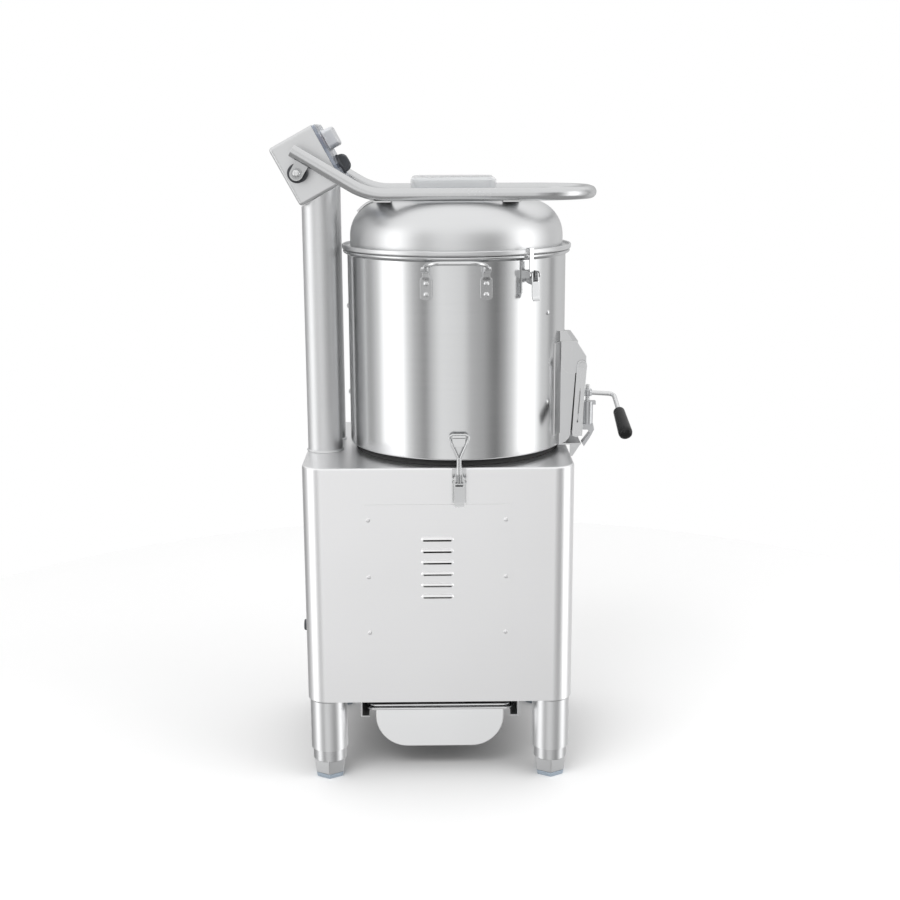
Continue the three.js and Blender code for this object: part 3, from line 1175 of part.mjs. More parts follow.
// Hoop: one bent tube from hinge to hinge, with its hinge ears and the two straps that carry the lid.
function lidHoop() {
  const slope = HOOP_SLOPE * RADIAN;
  const side = HOOP_SPREAD / 2;
  const falling = new THREE.Vector3(Math.cos(slope), 0, -Math.sin(slope));
  const [ahead, across] = [new THREE.Vector3(1, 0, 0), new THREE.Vector3(0, 1, 0)];
  const end = new THREE.Vector3(PIVOT_X - HOOP_END_BEHIND, -side, PIVOT_Z + HOOP_END_ABOVE);
  const knee = end.clone().addScaledVector(falling, (end.z - HOOP_Z) / Math.sin(slope));
  const corner = new THREE.Vector3(HOOP_FRONT, -side, HOOP_Z);
  const half = [end, ...bend(knee, falling, ahead, HOOP_KNEE), ...bend(corner, ahead, across, HOOP_CORNER)];
  const mirrored = half.map((point) => new THREE.Vector3(point.x, -point.y, point.z)).reverse();
  const tube = rod([...half, ...mirrored], HOOP_TUBE, HOOP_SIDES, HOOP_STEPS);
  const straps = [-STRAP_REAR, STRAP_FRONT].map((x) => crossStrap(x));
  const ears = [-side, side].map((y) => hoopEar(y, end, slope));
  const bores = [-side, side].map((y) => aimed(post(HOOP_TUBE - HOOP_TUBE_WALL, [-OVERRUN, HOOP_END_BORE],
    HOOP_SIDES),
    falling, new THREE.Vector3(end.x, y, end.z)));
  return node('lid_hoop', cut(join(tube, ...straps, ...ears, strapTab()), ...bores), POLISHED);
}

// Places a solid that stands on +Z so that it runs along a direction from a point.
function aimed(body, direction, from) {
  const turn = new THREE.Quaternion().setFromUnitVectors(new THREE.Vector3(0, 0, 1), direction);
  const frame = new THREE.Matrix4().compose(from, turn, new THREE.Vector3(1, 1, 1));
  return body.transform([...frame.elements]);
}

function hoopEar(y, end, slope) {
  const tubeZ = end.z - (PIVOT_X - end.x) * Math.tan(slope);
  const limits = [y - EAR_THICKNESS / 2, y + EAR_THICKNESS / 2];
  const ear = slab(strapOutline([PIVOT_X, PIVOT_Z, EAR_BELOW],
    [PIVOT_X, tubeZ - WELD_DEPTH, EAR_WIDTH / 2]), limits);
  return cut(ear, crossBar(PIN_RADIUS + SEAT_GAP, [limits[0] - OVERRUN, limits[1] + OVERRUN], PIVOT_X,
    PIVOT_Z));
}

function crossStrap(x) {
  const z0 = LID_TOP + SEAT_GAP;
  const z1 = z0 + STRAP_THICKNESS;
  const reach = HOOP_SPREAD / 2 + HOOP_TUBE / 2;
  const strap = block([x - STRAP_WIDTH / 2, x + STRAP_WIDTH / 2], [-reach, reach], [z0, z1]);
  const bolts = [-1, 1].map((side) => head(STRAP_BOLT_RADIUS, STRAP_BOLT_HEIGHT)
    .translate([x, (side * STRAP_BOLT_SPREAD) / 2, z1]));
  return join(strap, ...bolts);
}

// The tab that runs from the rear strap down the shoulder of the lid.
function strapTab() {
  const centre = [-(LID_RADIUS - LID_SHOULDER), LID_TOP - LID_SHOULDER];
  const radii = [LID_SHOULDER + SEAT_GAP, LID_SHOULDER + SEAT_GAP + STRAP_THICKNESS];
  const place = (radius, step) => {
    const turn = (step / ARC_STEPS) * TAB_TURN * RADIAN;
    return [centre[0] - radius * Math.sin(turn), centre[1] + radius * Math.cos(turn)];
  };
  const points = [];
  for (let i = 0; i <= ARC_STEPS; i += 1) points.push(place(radii[0], i));
  for (let i = ARC_STEPS; i >= 0; i -= 1) points.push(place(radii[1], i));
  return slab(polygon(points), [-TAB_WIDTH / 2, TAB_WIDTH / 2]);
}

// Hinge bush on one side of the control box: a thick spacer, the pin through the ear and its washer.
function hingeBush(name, side) {
  const from = BOX_WIDTH / 2 + SEAT_GAP;
  const ear = [(HOOP_SPREAD - EAR_THICKNESS) / 2 - SEAT_GAP, (HOOP_SPREAD + EAR_THICKNESS) / 2 + SEAT_GAP];
  const out = ear[1] + WASHER_THICKNESS;
  const bush = turnedAlongY([[0, from], [BUSH_RADIUS, from], [BUSH_RADIUS, ear[0]], [PIN_RADIUS, ear[0]],
    [PIN_RADIUS, ear[1]], [WASHER_RADIUS, ear[1]], [WASHER_RADIUS, out], [PIN_RADIUS, out],
    [PIN_RADIUS * PIN_TIP_SHARE,
      out + WASHER_THICKNESS], [0, out + WASHER_THICKNESS]]);
  const placed = bush.rotate([0, 0, side < 0 ? FULL_TURN / 2 : 0]).translate([PIVOT_X, 0, PIVOT_Z]);
  return node(name, placed, BLACK_PLASTIC);
}

// The line of the duct's mouth, which leans outwards as it rises.
function mouthX(z) {
  const [bottom, top] = [CABINET_TOP + MOUTH_BOTTOM, CABINET_TOP + DUCT_TOP];
  return MOUTH_BOTTOM_X + ((z - bottom) / (top - bottom)) * (MOUTH_TOP_X - MOUTH_BOTTOM_X);
}

// The duct's side view, drawn in by a wall thickness; its front may reach past the mouth.
function ductOutline(inset, ahead) {
  const [z0, z1] = [CABINET_TOP + DUCT_BOTTOM + inset, CABINET_TOP + DUCT_TOP - inset];
  const foot = CABINET_TOP + MOUTH_BOTTOM;
  const points = [[DUCT_BACK, z0], [MOUTH_BOTTOM_X - DUCT_CORNER, z0]];
  const round = DUCT_CORNER - inset;
  for (let i = 1; i <= ARC_STEPS; i += 1) {
    const turn = (i / ARC_STEPS) * (Math.PI / 2);
    points.push([MOUTH_BOTTOM_X - DUCT_CORNER + round * Math.sin(turn), z0 + round * (1 - Math.cos(turn))]);
  }
  points.push([MOUTH_BOTTOM_X - inset, foot], [MOUTH_BOTTOM_X + ahead, foot], [mouthX(z1) + ahead, z1],
    [DUCT_BACK, z1]);
  return polygon(points);
}

// Discharge duct: a sheet box on a curved flange, with hinge ears, a gusset above and the lip below.
function chuteDuct() {
  const half = DUCT_WIDTH / 2;
  const [z0, z1] = [CABINET_TOP + DUCT_BOTTOM, CABINET_TOP + DUCT_TOP];
  const box = slab(ductOutline(0, 0), [-half, half]);
  const room = slab(ductOutline(SHEET, OVERRUN), [-half + SHEET, half - SHEET]);
  const plateZ = CABINET_TOP + FRONT_PLATE_RISE;
  const plate = slab(polygon([[mouthX(plateZ) - SHEET, plateZ], [mouthX(plateZ), plateZ], [mouthX(z1), z1],
    [mouthX(z1) - SHEET, z1]]), [-half, half]);
  const skin = DRUM_RADIUS + SEAT_GAP;
  const flangeZ = [CABINET_TOP + DUCT_FLANGE_BOTTOM, z1];
  const ring = turned([[skin, flangeZ[0]], [skin + SHEET, flangeZ[0]], [skin + SHEET, flangeZ[1]],
    [skin, flangeZ[1]]]);
  const flange = ring.intersect(block([0, LIP_REACH], [-DUCT_FLANGE_WIDTH / 2, DUCT_FLANGE_WIDTH / 2],
    flangeZ));
  const duct = cut(join(box, flange), room, post(skin, [z0 - OVERRUN, z1 + OVERRUN], LARGE_ROUND));
  const extras = [-1, 1].flatMap((side) => [hingeEar(side), ductGusset(side), lipGusset(side)]);
  const lip = block([MOUTH_BOTTOM_X - DUCT_CORNER, LIP_REACH], [-half, half], [z0 - SHEET, z0 + WELD_DEPTH]);
  return node('chute_duct', cut(join(duct, plate, lip, ...extras),
    post(skin, [z0 - OVERRUN, DRUM_TOP], LARGE_ROUND)),
    BRUSHED);
}

const sided = (side, near, far) => [side * near, side * far].sort((a, b) => a - b);

// A hinge ear: a disc, a chamfered plate and the pin that carries the door's arm.
function hingeEar(side) {
  const half = DUCT_WIDTH / 2;
  const z1 = CABINET_TOP + DUCT_TOP;
  const discZ = CABINET_TOP + HINGE_DISC_RISE;
  const back = HINGE_DISC_X - HINGE_DISC;
  const y = sided(side, half - WELD_DEPTH, half + EAR_PLATE);
  const chamferX = mouthX(z1) - LIP_CLEAR;
  const nose = DOOR_PIVOT_X + DOOR_PIVOT_ROUND;
  const plate = slab(polygon([[back, z1], [chamferX, z1], [nose, DOOR_PIVOT_Z + 2 * DOOR_PIVOT_ROUND],
    [nose, DOOR_PIVOT_Z], [DOOR_PIVOT_X, DOOR_PIVOT_Z - DOOR_PIVOT_ROUND], [HINGE_DISC_X, discZ - HINGE_DISC],
    [back, discZ]]), y);
  const arm = half + EAR_PLATE + DOOR_SIDE_GAP;
  const outside = arm + ARM_THICKNESS + SEAT_GAP;
  const pin = crossBar(DOOR_PIN, sided(side, half, outside + DOOR_PIN_HEAD_HEIGHT / 2), DOOR_PIVOT_X,
    DOOR_PIVOT_Z);
  const pinHead = crossBar(DOOR_PIN_HEAD, sided(side, outside, outside + DOOR_PIN_HEAD_HEIGHT), DOOR_PIVOT_X,
    DOOR_PIVOT_Z, 6);
  return join(plate, crossBar(HINGE_DISC, y, HINGE_DISC_X, discZ, MEDIUM_ROUND), pin, pinHead);
}

function ductGusset(side) {
  const z1 = CABINET_TOP + DUCT_TOP;
  const x = DRUM_RADIUS - DRUM_WALL;
  const outline = polygon([[DUCT_BACK, z1 - WELD_DEPTH], [x + GUSSET_REACH, z1 - WELD_DEPTH],
    [x, z1 + GUSSET_RISE],
    [DUCT_BACK, z1 + GUSSET_RISE]]);
  return slab(outline, sided(side, DUCT_WIDTH / 2 - SHEET, DUCT_WIDTH / 2));
}

function lipGusset(side) {
  const z0 = CABINET_TOP + DUCT_BOTTOM;
  const wall = CABINET_WIDTH / 2 - CABINET_BEHIND + RUNNING_GAP;
  const low = CABINET_TOP - LIP_BELOW;
  const outline = polygon([[wall, z0], [LIP_REACH, z0], [wall + LIP_FOOT, low], [wall, low]]);
  return slab(outline, sided(side, DUCT_WIDTH / 2 - SHEET, DUCT_WIDTH / 2));
}

// The door's back face stands off the mouth by its gasket; the front runs up to the hinge's round.
function doorBack(z) {
  return mouthX(z) + DOOR_GASKET + 2 * SEAT_GAP;
}

function doorFront(z) {
  const foot = CABINET_TOP + DOOR_BOTTOM;
  const share = (z - foot) / (DOOR_PIVOT_Z - foot);
  const low = doorBack(foot) + DOOR_DEPTH;
  return low + share * (DOOR_PIVOT_X + DOOR_PIVOT_ROUND - low);
}

// Door pan: a hollow tray whose edges turn back in to carry the gasket.
function doorPan() {
  const half = DUCT_WIDTH / 2 - DOOR_SIDE_GAP;
  const foot = CABINET_TOP + DOOR_BOTTOM;
  const face = (inset) => {
    const [low, high] = [foot + inset, DOOR_PIVOT_Z - (inset ? DOOR_DEPTH : 0)];
    return polygon([[doorBack(low) + inset, low], [doorFront(low) - inset, low],
      [doorFront(high) - inset, high],
      [doorBack(high) + inset, high]]);
  };
  const pan = join(slab(face(0), [-half, half]), crossBar(DOOR_PIVOT_ROUND, [-half, half], DOOR_PIVOT_X,
    DOOR_PIVOT_Z));
  const room = slab(face(SHEET), [-half + SHEET, half - SHEET]);
  const band = DOOR_GASKET_BAND;
  const top = DOOR_PIVOT_Z - DOOR_DEPTH - band;
  const mouth = block([MOUTH_BOTTOM_X, doorFront(foot) - 2 * SHEET], [-half + band, half - band],
    [foot + band, top]);
  const bosses = [];
  for (const side of [-1, 1]) {
    for (const rise of BOSS_RISES) {
      const z = CABINET_TOP + rise;
      const x = (doorBack(z) + doorFront(z)) / 2;
      const arm = DUCT_WIDTH / 2 + EAR_PLATE + DOOR_SIDE_GAP;
      bosses.push(crossBar(BOSS_RADIUS, sided(side, half - WELD_DEPTH, arm - SEAT_GAP), x, z));
    }
  }
  return node('door_pan', join(cut(pan, room, mouth), ...bosses), BRUSHED);
}

function doorGasket() {
  const half = DUCT_WIDTH / 2 - DOOR_SIDE_GAP;
  const [low, high] = [CABINET_TOP + MOUTH_BOTTOM + RUNNING_GAP,
    CABINET_TOP + FRONT_PLATE_RISE - RUNNING_GAP];
  const near = (z) => mouthX(z) + SEAT_GAP;
  const outline = polygon([[near(low), low], [near(low) + DOOR_GASKET, low], [near(high) + DOOR_GASKET, high],
    [near(high), high]]);
  const band = DOOR_GASKET_BAND;
  const hole = block([DUCT_BACK, LIP_REACH], [-half + band, half - band], [low + band, high - band]);
  return node('door_gasket', cut(slab(outline, [-half, half]), hole), BLACK_RUBBER);
}

function doorArm(name, side) {
  const near = DUCT_WIDTH / 2 + EAR_PLATE + DOOR_SIDE_GAP;
  const y = sided(side, near, near + ARM_THICKNESS);
  const endZ = CABINET_TOP + ARM_END_RISE;
  const arm = slab(strapOutline([DOOR_PIVOT_X, DOOR_PIVOT_Z, ARM_TOP_ROUND],
    [ARM_END_X, endZ, ARM_END_ROUND]), y);
  const through = [y[0] - OVERRUN, y[1] + OVERRUN];
  const hole = crossBar(DOOR_PIN + SEAT_GAP, through, DOOR_PIVOT_X, DOOR_PIVOT_Z);
  const lean = Math.atan2(DOOR_PIVOT_X - ARM_END_X, DOOR_PIVOT_Z - endZ) / RADIAN;
  const slotZ = CABINET_TOP + ARM_SLOT_RISE;
  const slotX = ARM_END_X + Math.tan(lean * RADIAN) * (slotZ - endZ);
  const slot = block([-ARM_SLOT_WIDTH / 2, ARM_SLOT_WIDTH / 2], through,
    [-ARM_SLOT_LENGTH / 2, ARM_SLOT_LENGTH / 2])
    .rotate([0, lean, 0]).translate([slotX, 0, slotZ]);
  return node(name, cut(arm, hole, slot), BRUSHED);
}

// Clamp bracket on the door: a foot plate, a barrel for the spindle, a top lug and a hooked tail.
function clampBracket() {
  const top = CABINET_TOP + CLAMP_RISE;
  const low = top - CLAMP_HEIGHT;
  const face = (z) => doorFront(z) + SEAT_GAP;
  const x = clampX();
  const foot = slab(polygon([[face(low), low], [face(low) + CLAMP_PLATE, low], [face(top) + CLAMP_PLATE, top],
    [face(top), top]]), [-CLAMP_WIDTH / 2, CLAMP_WIDTH / 2]);
  const round = SPINDLE_PIN + CLAMP_LUG;
  const barrel = post(round, [low + CLAMP_LUG, top], MEDIUM_ROUND, x, 0);
  const web = block([face(top) + WELD_DEPTH, x], [-CLAMP_LUG, CLAMP_LUG], [low, top]);
  const lug = block([face(top) + WELD_DEPTH, x + CLAMP_REACH - SPINDLE_PIN], [-CLAMP_LUG, CLAMP_LUG],
    [top - CLAMP_LUG, top]);
  const out = x + round;
  const tail = slab(polygon([[face(top) + WELD_DEPTH, low + round], [out, low + round], [out + SHEET, low],
    [out - CLAMP_LUG, low - CLAMP_TAIL / 2], [x - CLAMP_LUG, low - CLAMP_TAIL],
    [x - round, low - CLAMP_TAIL + CLAMP_LUG],
    [x + SPINDLE_PIN, low - CLAMP_LUG], [x, low], [face(top) + WELD_DEPTH, low]]), [-round, round]);
  const bore = post(SPINDLE_PIN + SEAT_GAP, [low + round, top + OVERRUN], SMALL_ROUND, x, 0);
  return node('clamp_bracket', cut(join(foot, barrel, web, lug, tail), bore), CAST);
}

function clampX() {
  return doorFront(CABINET_TOP + CLAMP_RISE) + SEAT_GAP + CLAMP_PLATE + SPINDLE_PIN + CLAMP_LUG;
}

// The route of the clamp lever: out from the hub, round a bend, then aside and down to the grip.
function leverRoute() {
  const z = CABINET_TOP + CLAMP_RISE + SPINDLE_PIN_ABOVE - LEVER_HUB_HEIGHT / 2;
  const [splay, dip] = [LEVER_SPLAY * RADIAN, LEVER_DIP * RADIAN];
  const corner = new THREE.Vector3(clampX() + LEVER_REACH, 0, z - LEVER_FALL);
  const start = new THREE.Vector3(clampX(), 0, z);
  const out = corner.clone().sub(start).normalize();
  const level = Math.cos(dip);
  const down = new THREE.Vector3(level * Math.sin(splay), -level * Math.cos(splay), -Math.sin(dip));
  return { start, corner, out, down };
}

function clampLever() {
  const { start, corner, out, down } = leverRoute();
  const low = CABINET_TOP + CLAMP_RISE - CLAMP_HEIGHT + SPINDLE_PIN + CLAMP_LUG + SEAT_GAP;
  const end = corner.clone().addScaledVector(down, GRIP_START + GRIP_SOCKET);
  const bar = rod([start, ...bend(corner, out, down, LEVER_BEND), end], LEVER_ROD, HEAD_ROUND, LEVER_STEPS);
  const spindle = post(SPINDLE_PIN, [low, CABINET_TOP + CLAMP_RISE + SPINDLE_PIN_ABOVE + LEVER_HUB_ABOVE],
    SMALL_ROUND,
    start.x, 0);
  const hub = post(LEVER_HUB, [start.z - LEVER_HUB_HEIGHT / 2, start.z + LEVER_HUB_HEIGHT / 2], SMALL_ROUND,
    start.x, 0);
  return node('clamp_lever', join(bar, spindle, hub), POLISHED);
}

function leverGrip() {
  const { corner, down } = leverRoute();
  const socket = LEVER_ROD + SEAT_GAP;
  const grip = turned([[socket, 0], [GRIP_RADIUS - GRIP_EDGE, 0], [GRIP_RADIUS, GRIP_EDGE],
    [GRIP_END_RADIUS, GRIP_LENGTH - GRIP_EDGE],
    [GRIP_END_RADIUS - GRIP_EDGE, GRIP_LENGTH], [0, GRIP_LENGTH + GRIP_EDGE / 2], [0, GRIP_SOCKET + SEAT_GAP],
    [socket, GRIP_SOCKET + SEAT_GAP]], MEDIUM_ROUND);
  return node('lever_grip', aimed(grip, down, corner.clone().addScaledVector(down, GRIP_START)),
    BLACK_PLASTIC);
}

// Drum handle: two riveted plates, each necked in to a rolled eye, and one bent rod that rises from eye to eye.
function drumHandle(name, side) {
  const skin = DRUM_RADIUS + SEAT_GAP;
  const face = [-skin - HANDLE_PLATE, -skin];
  const eyeY = -skin - HANDLE_EYE;
  const eyeZ = DRUM_TOP - HANDLE_EYE_DROP;
  const half = Math.asin(HANDLE_SPREAD / 2 / DRUM_RADIUS) / RADIAN;
  const plateTop = DRUM_TOP - HANDLE_PLATE_DROP;
  const plates = [-half, half].map((turn) => {
    const plate = slab(roundedRectangle(HANDLE_PLATE_WIDTH, HANDLE_PLATE_LENGTH, HANDLE_PLATE_ROUND), face)
      .translate([0, 0, plateTop - HANDLE_PLATE_LENGTH / 2]);
    const neck = block([-HANDLE_NECK_WIDTH / 2, HANDLE_NECK_WIDTH / 2], face,
      [plateTop - HANDLE_PLATE_ROUND, eyeZ]);
    const eye = longBar(HANDLE_EYE, [-HANDLE_NECK_WIDTH / 2, HANDLE_NECK_WIDTH / 2], eyeY, eyeZ);
    const rivets = RIVET_DROPS.map((drop) => head(RIVET_RADIUS, RIVET_HEIGHT).rotate([90, 0, 0])
      .translate([0, face[0], DRUM_TOP - drop]));
    return join(plate, neck, eye, ...rivets).rotate([0, 0, turn]);
  });
  const start = new THREE.Vector3(0, eyeY, eyeZ).applyAxisAngle(new THREE.Vector3(0, 0, 1), -half * RADIAN);
  const corner = new THREE.Vector3(start.x, -DRUM_RADIUS - HANDLE_REACH, DRUM_TOP - HANDLE_BAR_DROP);
  const out = corner.clone().sub(start).normalize();
  const line = [start, ...bend(corner, out, new THREE.Vector3(1, 0, 0), HANDLE_CORNER)];
  const back = line.map((point) => new THREE.Vector3(-point.x, point.y, point.z)).reverse();
  const bar = rod([...line, ...back], HANDLE_ROD, BAIL_SIDES, HANDLE_STEPS);
  const shift = Math.asin(HANDLE_BEHIND / DRUM_RADIUS) / RADIAN;
  const handle = join(...plates, bar).rotate([0, 0, -shift]);
  return node(name, side < 0 ? handle : handle.mirror([0, 1, 0]), SATIN);
}

// What sets one toggle latch apart from another: its plate, its pivot, its cheeks and its lever.
const DRAW_LATCH = {
  half: LATCH_PLATE_HALF, height: LATCH_PLATE_HEIGHT, drop: LATCH_TOP_DROP, cheek: CHEEK_INNER,
    lever: LEVER_LENGTH,
  pivot: [-LATCH_PIVOT_OUT, -LATCH_PIVOT_DROP],
};
const LID_LATCH = {
  half: LID_PLATE_HALF, height: LID_PLATE_HEIGHT, drop: LID_LATCH_DROP, cheek: LID_CHEEK_INNER,
  lever: LID_LEVER_LENGTH, pivot: [-LID_PIVOT_OUT, -LID_PIVOT_DROP],
};
const crankOf = ({ pivot }) => [pivot[0] + CRANK_IN, pivot[1] - CRANK_DOWN];

// Latch base, in the frame of the wall it sits on: Y into the wall, Z up from the wall's top.
function latchBase(name, latch) {
  const { half, height, drop, cheek, pivot } = latch;
  const back = -SEAT_GAP - LATCH_PLATE;
  const plate = block([-half, half], [back, -SEAT_GAP], [-drop - height, -drop]);
  const parts = [];
  for (const side of [-1, 1]) {
    const x = sided(side, half - LATCH_EAR, half);
    const root = LATCH_EAR_ROUND + LATCH_EAR;
    const ear = sidePlate(polygon([[-SEAT_GAP, pivot[1] + root], [-SEAT_GAP, pivot[1] - root],
      [pivot[0], pivot[1] - LATCH_EAR_ROUND], [pivot[0], pivot[1] + LATCH_EAR_ROUND]]), x);
    parts.push(ear, longBar(LATCH_EAR_ROUND, x, pivot[0], pivot[1]),
      longBar(LATCH_STUB, sided(side, cheek, half), pivot[0], pivot[1]));
  }
  return node(name, join(plate, ...parts), SATIN);
}

// Latch lever: two cheeks on the base's stubs and a folded grip that hangs in front of them.
function latchLever(name, latch) {
  const { cheek, lever, pivot } = latch;
  const crank = crankOf(latch);
  const outer = cheek + CHEEK;
  const front = pivot[0] - LEVER_OUT;
  const top = pivot[1] - LEVER_TOP_DROP;
  const foot = [front + LATCH_HUB - LEVER_SHEET, top - LATCH_HUB];
  const grip = sidePlate(polygon([[front, top], [front, top - lever + LEVER_KICK * 2],
    [front - LEVER_KICK, top - lever], [front - LEVER_KICK - LEVER_SHEET, top - lever],
    [front - LEVER_SHEET, top - lever + LEVER_KICK * 2], [front - LEVER_SHEET, top]]), [-outer, outer]);
  const bevel = LATCH_HUB / 2;
  const outline = polygon([[pivot[0] - LATCH_HUB, pivot[1] + bevel], [pivot[0] - bevel, pivot[1] + LATCH_HUB],
    [pivot[0] + bevel, pivot[1] + LATCH_HUB], [crank[0] + LATCH_HUB, crank[1] + bevel], [crank[0] + LATCH_HUB,
      crank[1] - bevel], [crank[0], crank[1] - LATCH_HUB], [foot[0], foot[1]],
      [front - LEVER_SHEET / 2, foot[1]],
    [front - LEVER_SHEET / 2, top]]);
  const cheeks = [-1, 1].map((side) => sidePlate(outline, sided(side, cheek, outer)));
  const reach = [-outer - OVERRUN, outer + OVERRUN];
  return node(name, cut(join(grip, ...cheeks), longBar(LATCH_STUB + SEAT_GAP, reach, ...pivot),
    longBar(BAIL_WIRE + SEAT_GAP, reach, ...crank)), SATIN);
}

// Bail of a draw latch: one wire that rises as a double stem, opens in a V and closes over the keeper.
function latchBail(name) {
  const crank = crankOf(DRAW_LATCH);
  const outer = CHEEK_INNER + CHEEK;
  const rises = [0, BAIL_STEM, BAIL_V, BAIL_SIDE, BAIL_TOP];
  const halves = [BAIL_SPLIT, BAIL_SPLIT, BAIL_V_HALF, BAIL_HALF, BAIL_TOP_HALF];
  const total = rises.reduce((sum, rise) => sum + rise);
  const half = [];
  let height = 0;
  rises.forEach((rise, i) => {
    height += rise;
    half.push(new THREE.Vector3(halves[i], crank[0] + (BAIL_LEAN * height) / total, crank[1] + height));
  });
  half.splice(1, 0, half[0].clone().lerp(half[1], 1 - BAIL_WIRE / BAIL_STEM));
  const back = half.map((point) => new THREE.Vector3(-point.x, point.y, point.z)).reverse();
  const wire = rod([...half, ...back], BAIL_WIRE, BAIL_SIDES, BAIL_STEPS);
  return node(name, join(wire, longBar(BAIL_WIRE, [-outer, outer], ...crank)), POLISHED);
}

// Hook of the lid latch: a strap that stands in the rim's notch and turns in over the rim.
function lidHook(name) {
  const crank = crankOf(LID_LATCH);
  const outer = LID_CHEEK_INNER + CHEEK;
  const top = SEAT_GAP + LID_RIM_HEIGHT + SEAT_GAP + LID_HOOK_SHEET;
  const y = [crank[0] - LID_HOOK_SHEET / 2, crank[0] + LID_HOOK_SHEET / 2];
  const strap = block([-LID_HOOK_HALF, LID_HOOK_HALF], y, [crank[1], top]);
  const tip = -(LID_RIM_RADIUS - DRUM_RADIUS) + LID_CLAW_SHORT;
  const claw = block([-LID_HOOK_HALF, LID_HOOK_HALF], [y[0], tip], [top - LID_HOOK_SHEET, top]);
  const inner = LID_CHEEK_INNER - SEAT_GAP;
  return node(name, join(strap, claw, longBar(LID_HOOK_HUB, [-inner, inner], ...crank),
    longBar(BAIL_WIRE, [-outer, outer], ...crank)), SATIN);
}

function drawLatch(name, side) {
  const latch = groupOf(0, (side * CABINET_DEPTH) / 2, CABINET_TOP,
    latchBase(`draw_latch_base_${name}`, DRAW_LATCH),
    latchLever(`draw_latch_lever_${name}`, DRAW_LATCH), latchBail(`draw_latch_bail_${name}`));
  latch.rotation.z = side < 0 ? 0 : Math.PI;
  return latch;
}

function lidLatch() {
  const turn = LID_LATCH_TURN * RADIAN;
  const latch = groupOf(DRUM_RADIUS * Math.cos(turn), DRUM_RADIUS * Math.sin(turn), DRUM_TOP,
    latchBase('lid_latch_base', LID_LATCH), latchLever('lid_latch_lever', LID_LATCH),
    lidHook('lid_latch_hook'));
  latch.rotation.z = turn + Math.PI / 2;
  return latch;
}

// Assembly, one group for each of the machine's parts
function controls() {
  const panel = groupOf(BOX_CENTRE_X, 0, BOX_CENTRE_Z, controlBox(), controlFascia(), clearCover(),
    timerBody(),
    timerKnob(), switchBlock(), pushButton('start_button', 1, GREEN_PLASTIC),
    pushButton('stop_button', -1, RED_PLASTIC),
    switchBoot());
  panel.rotation.y = -BOX_TILT * RADIAN;
  return panel;
}

function cabinet() {
  const stands = legPlaces().flatMap((place, i) => [leg(i + 1, place), levellingFoot(i + 1, place)]);
  return groupOf(0, 0, 0, cabinetShell(), bottomFrame(), accessPanel(), cableGland(), wasteTray(), ...stands);
}

function drive() {
  const [pulley, belt, rotor] = [drivenPulley(), driveBelt(), motorPulley()];
  rotor.position.x = -MOTOR_BEHIND;
  return groupOf(0, 0, 0, discSpindle(), bearingHousing(), pulley, belt, rotor, motor(), motorBracket(),
    drainPipe());
}

function drum() {
  return groupOf(0, 0, 0, drumShell(), drumGasket(), abrasiveLiner(), abrasiveDisc(),
    drumHandle('drum_handle_near', -1),
    drumHandle('drum_handle_far', 1), chuteDuct());
}

function door() {
  return groupOf(0, 0, 0, doorPan(), doorGasket(), doorArm('door_arm_near', -1), doorArm('door_arm_far', 1),
    clampBracket(), clampLever(), leverGrip());
}

function lid() {
  return groupOf(0, 0, 0, lidDome(), lidWindow(), lidHoop());
}

const machine = groupOf(0, 0, 0, cabinet(), drive(), drum(), door(), lid(), controls(),
  supportPost('post_near', -1),
  supportPost('post_far', 1), hingeBush('hinge_bush_near', -1), hingeBush('hinge_bush_far', 1),
  drawLatch('near', -1), drawLatch('far', 1), lidLatch());
machine.updateMatrixWorld(true);
const centre = new THREE.Box3().setFromObject(machine, true).getCenter(new THREE.Vector3());
machine.position.set(-centre.x, -centre.y, 0);

const peeler = new THREE.Group();
peeler.name = 'potato_peeler';
peeler.add(machine);

export default peeler;
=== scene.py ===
"""Looks for an electric potato peeler: a lidded drum on a sheet steel cabinet.

Every class builds and dresses one sub-assembly. Lengths are in metres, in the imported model's frame.
"""

import json
import logging
import math
from dataclasses import dataclass
from enum import Enum
from itertools import product
from typing import Callable, Iterable, Optional, Sequence

import bpy
from mathutils import Matrix, Vector


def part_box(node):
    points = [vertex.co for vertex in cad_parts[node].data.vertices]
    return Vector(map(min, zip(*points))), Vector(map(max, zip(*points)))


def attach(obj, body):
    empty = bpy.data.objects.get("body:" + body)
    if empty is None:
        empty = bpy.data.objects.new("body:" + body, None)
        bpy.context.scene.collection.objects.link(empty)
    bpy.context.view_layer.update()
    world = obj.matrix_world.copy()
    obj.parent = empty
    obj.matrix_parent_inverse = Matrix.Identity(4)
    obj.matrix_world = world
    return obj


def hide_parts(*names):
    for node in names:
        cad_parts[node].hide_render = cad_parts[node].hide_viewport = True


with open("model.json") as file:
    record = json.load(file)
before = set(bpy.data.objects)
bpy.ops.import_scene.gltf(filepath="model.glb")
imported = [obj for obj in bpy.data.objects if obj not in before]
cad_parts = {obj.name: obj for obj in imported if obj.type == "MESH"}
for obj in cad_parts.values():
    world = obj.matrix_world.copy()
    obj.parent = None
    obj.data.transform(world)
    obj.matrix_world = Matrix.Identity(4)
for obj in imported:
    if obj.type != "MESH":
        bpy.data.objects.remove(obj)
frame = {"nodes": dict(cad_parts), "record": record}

LOG = logging.getLogger("peeler")
MM = 0.001

# The radii put on edges, from thin wire and sheet to castings.
HAIR_EDGE = 0.2 * MM
FINE_EDGE = 0.3 * MM
SOFT_EDGE = 0.4 * MM
ROUND_EDGE = 0.5 * MM
BLUNT_EDGE = 0.8 * MM

# The angles in degrees up to which neighbouring faces shade as one.
SHARP = 30.0
FOLDED = 35.0
RIVETED = 45.0
TURNED = 50.0
BENT = 60.0

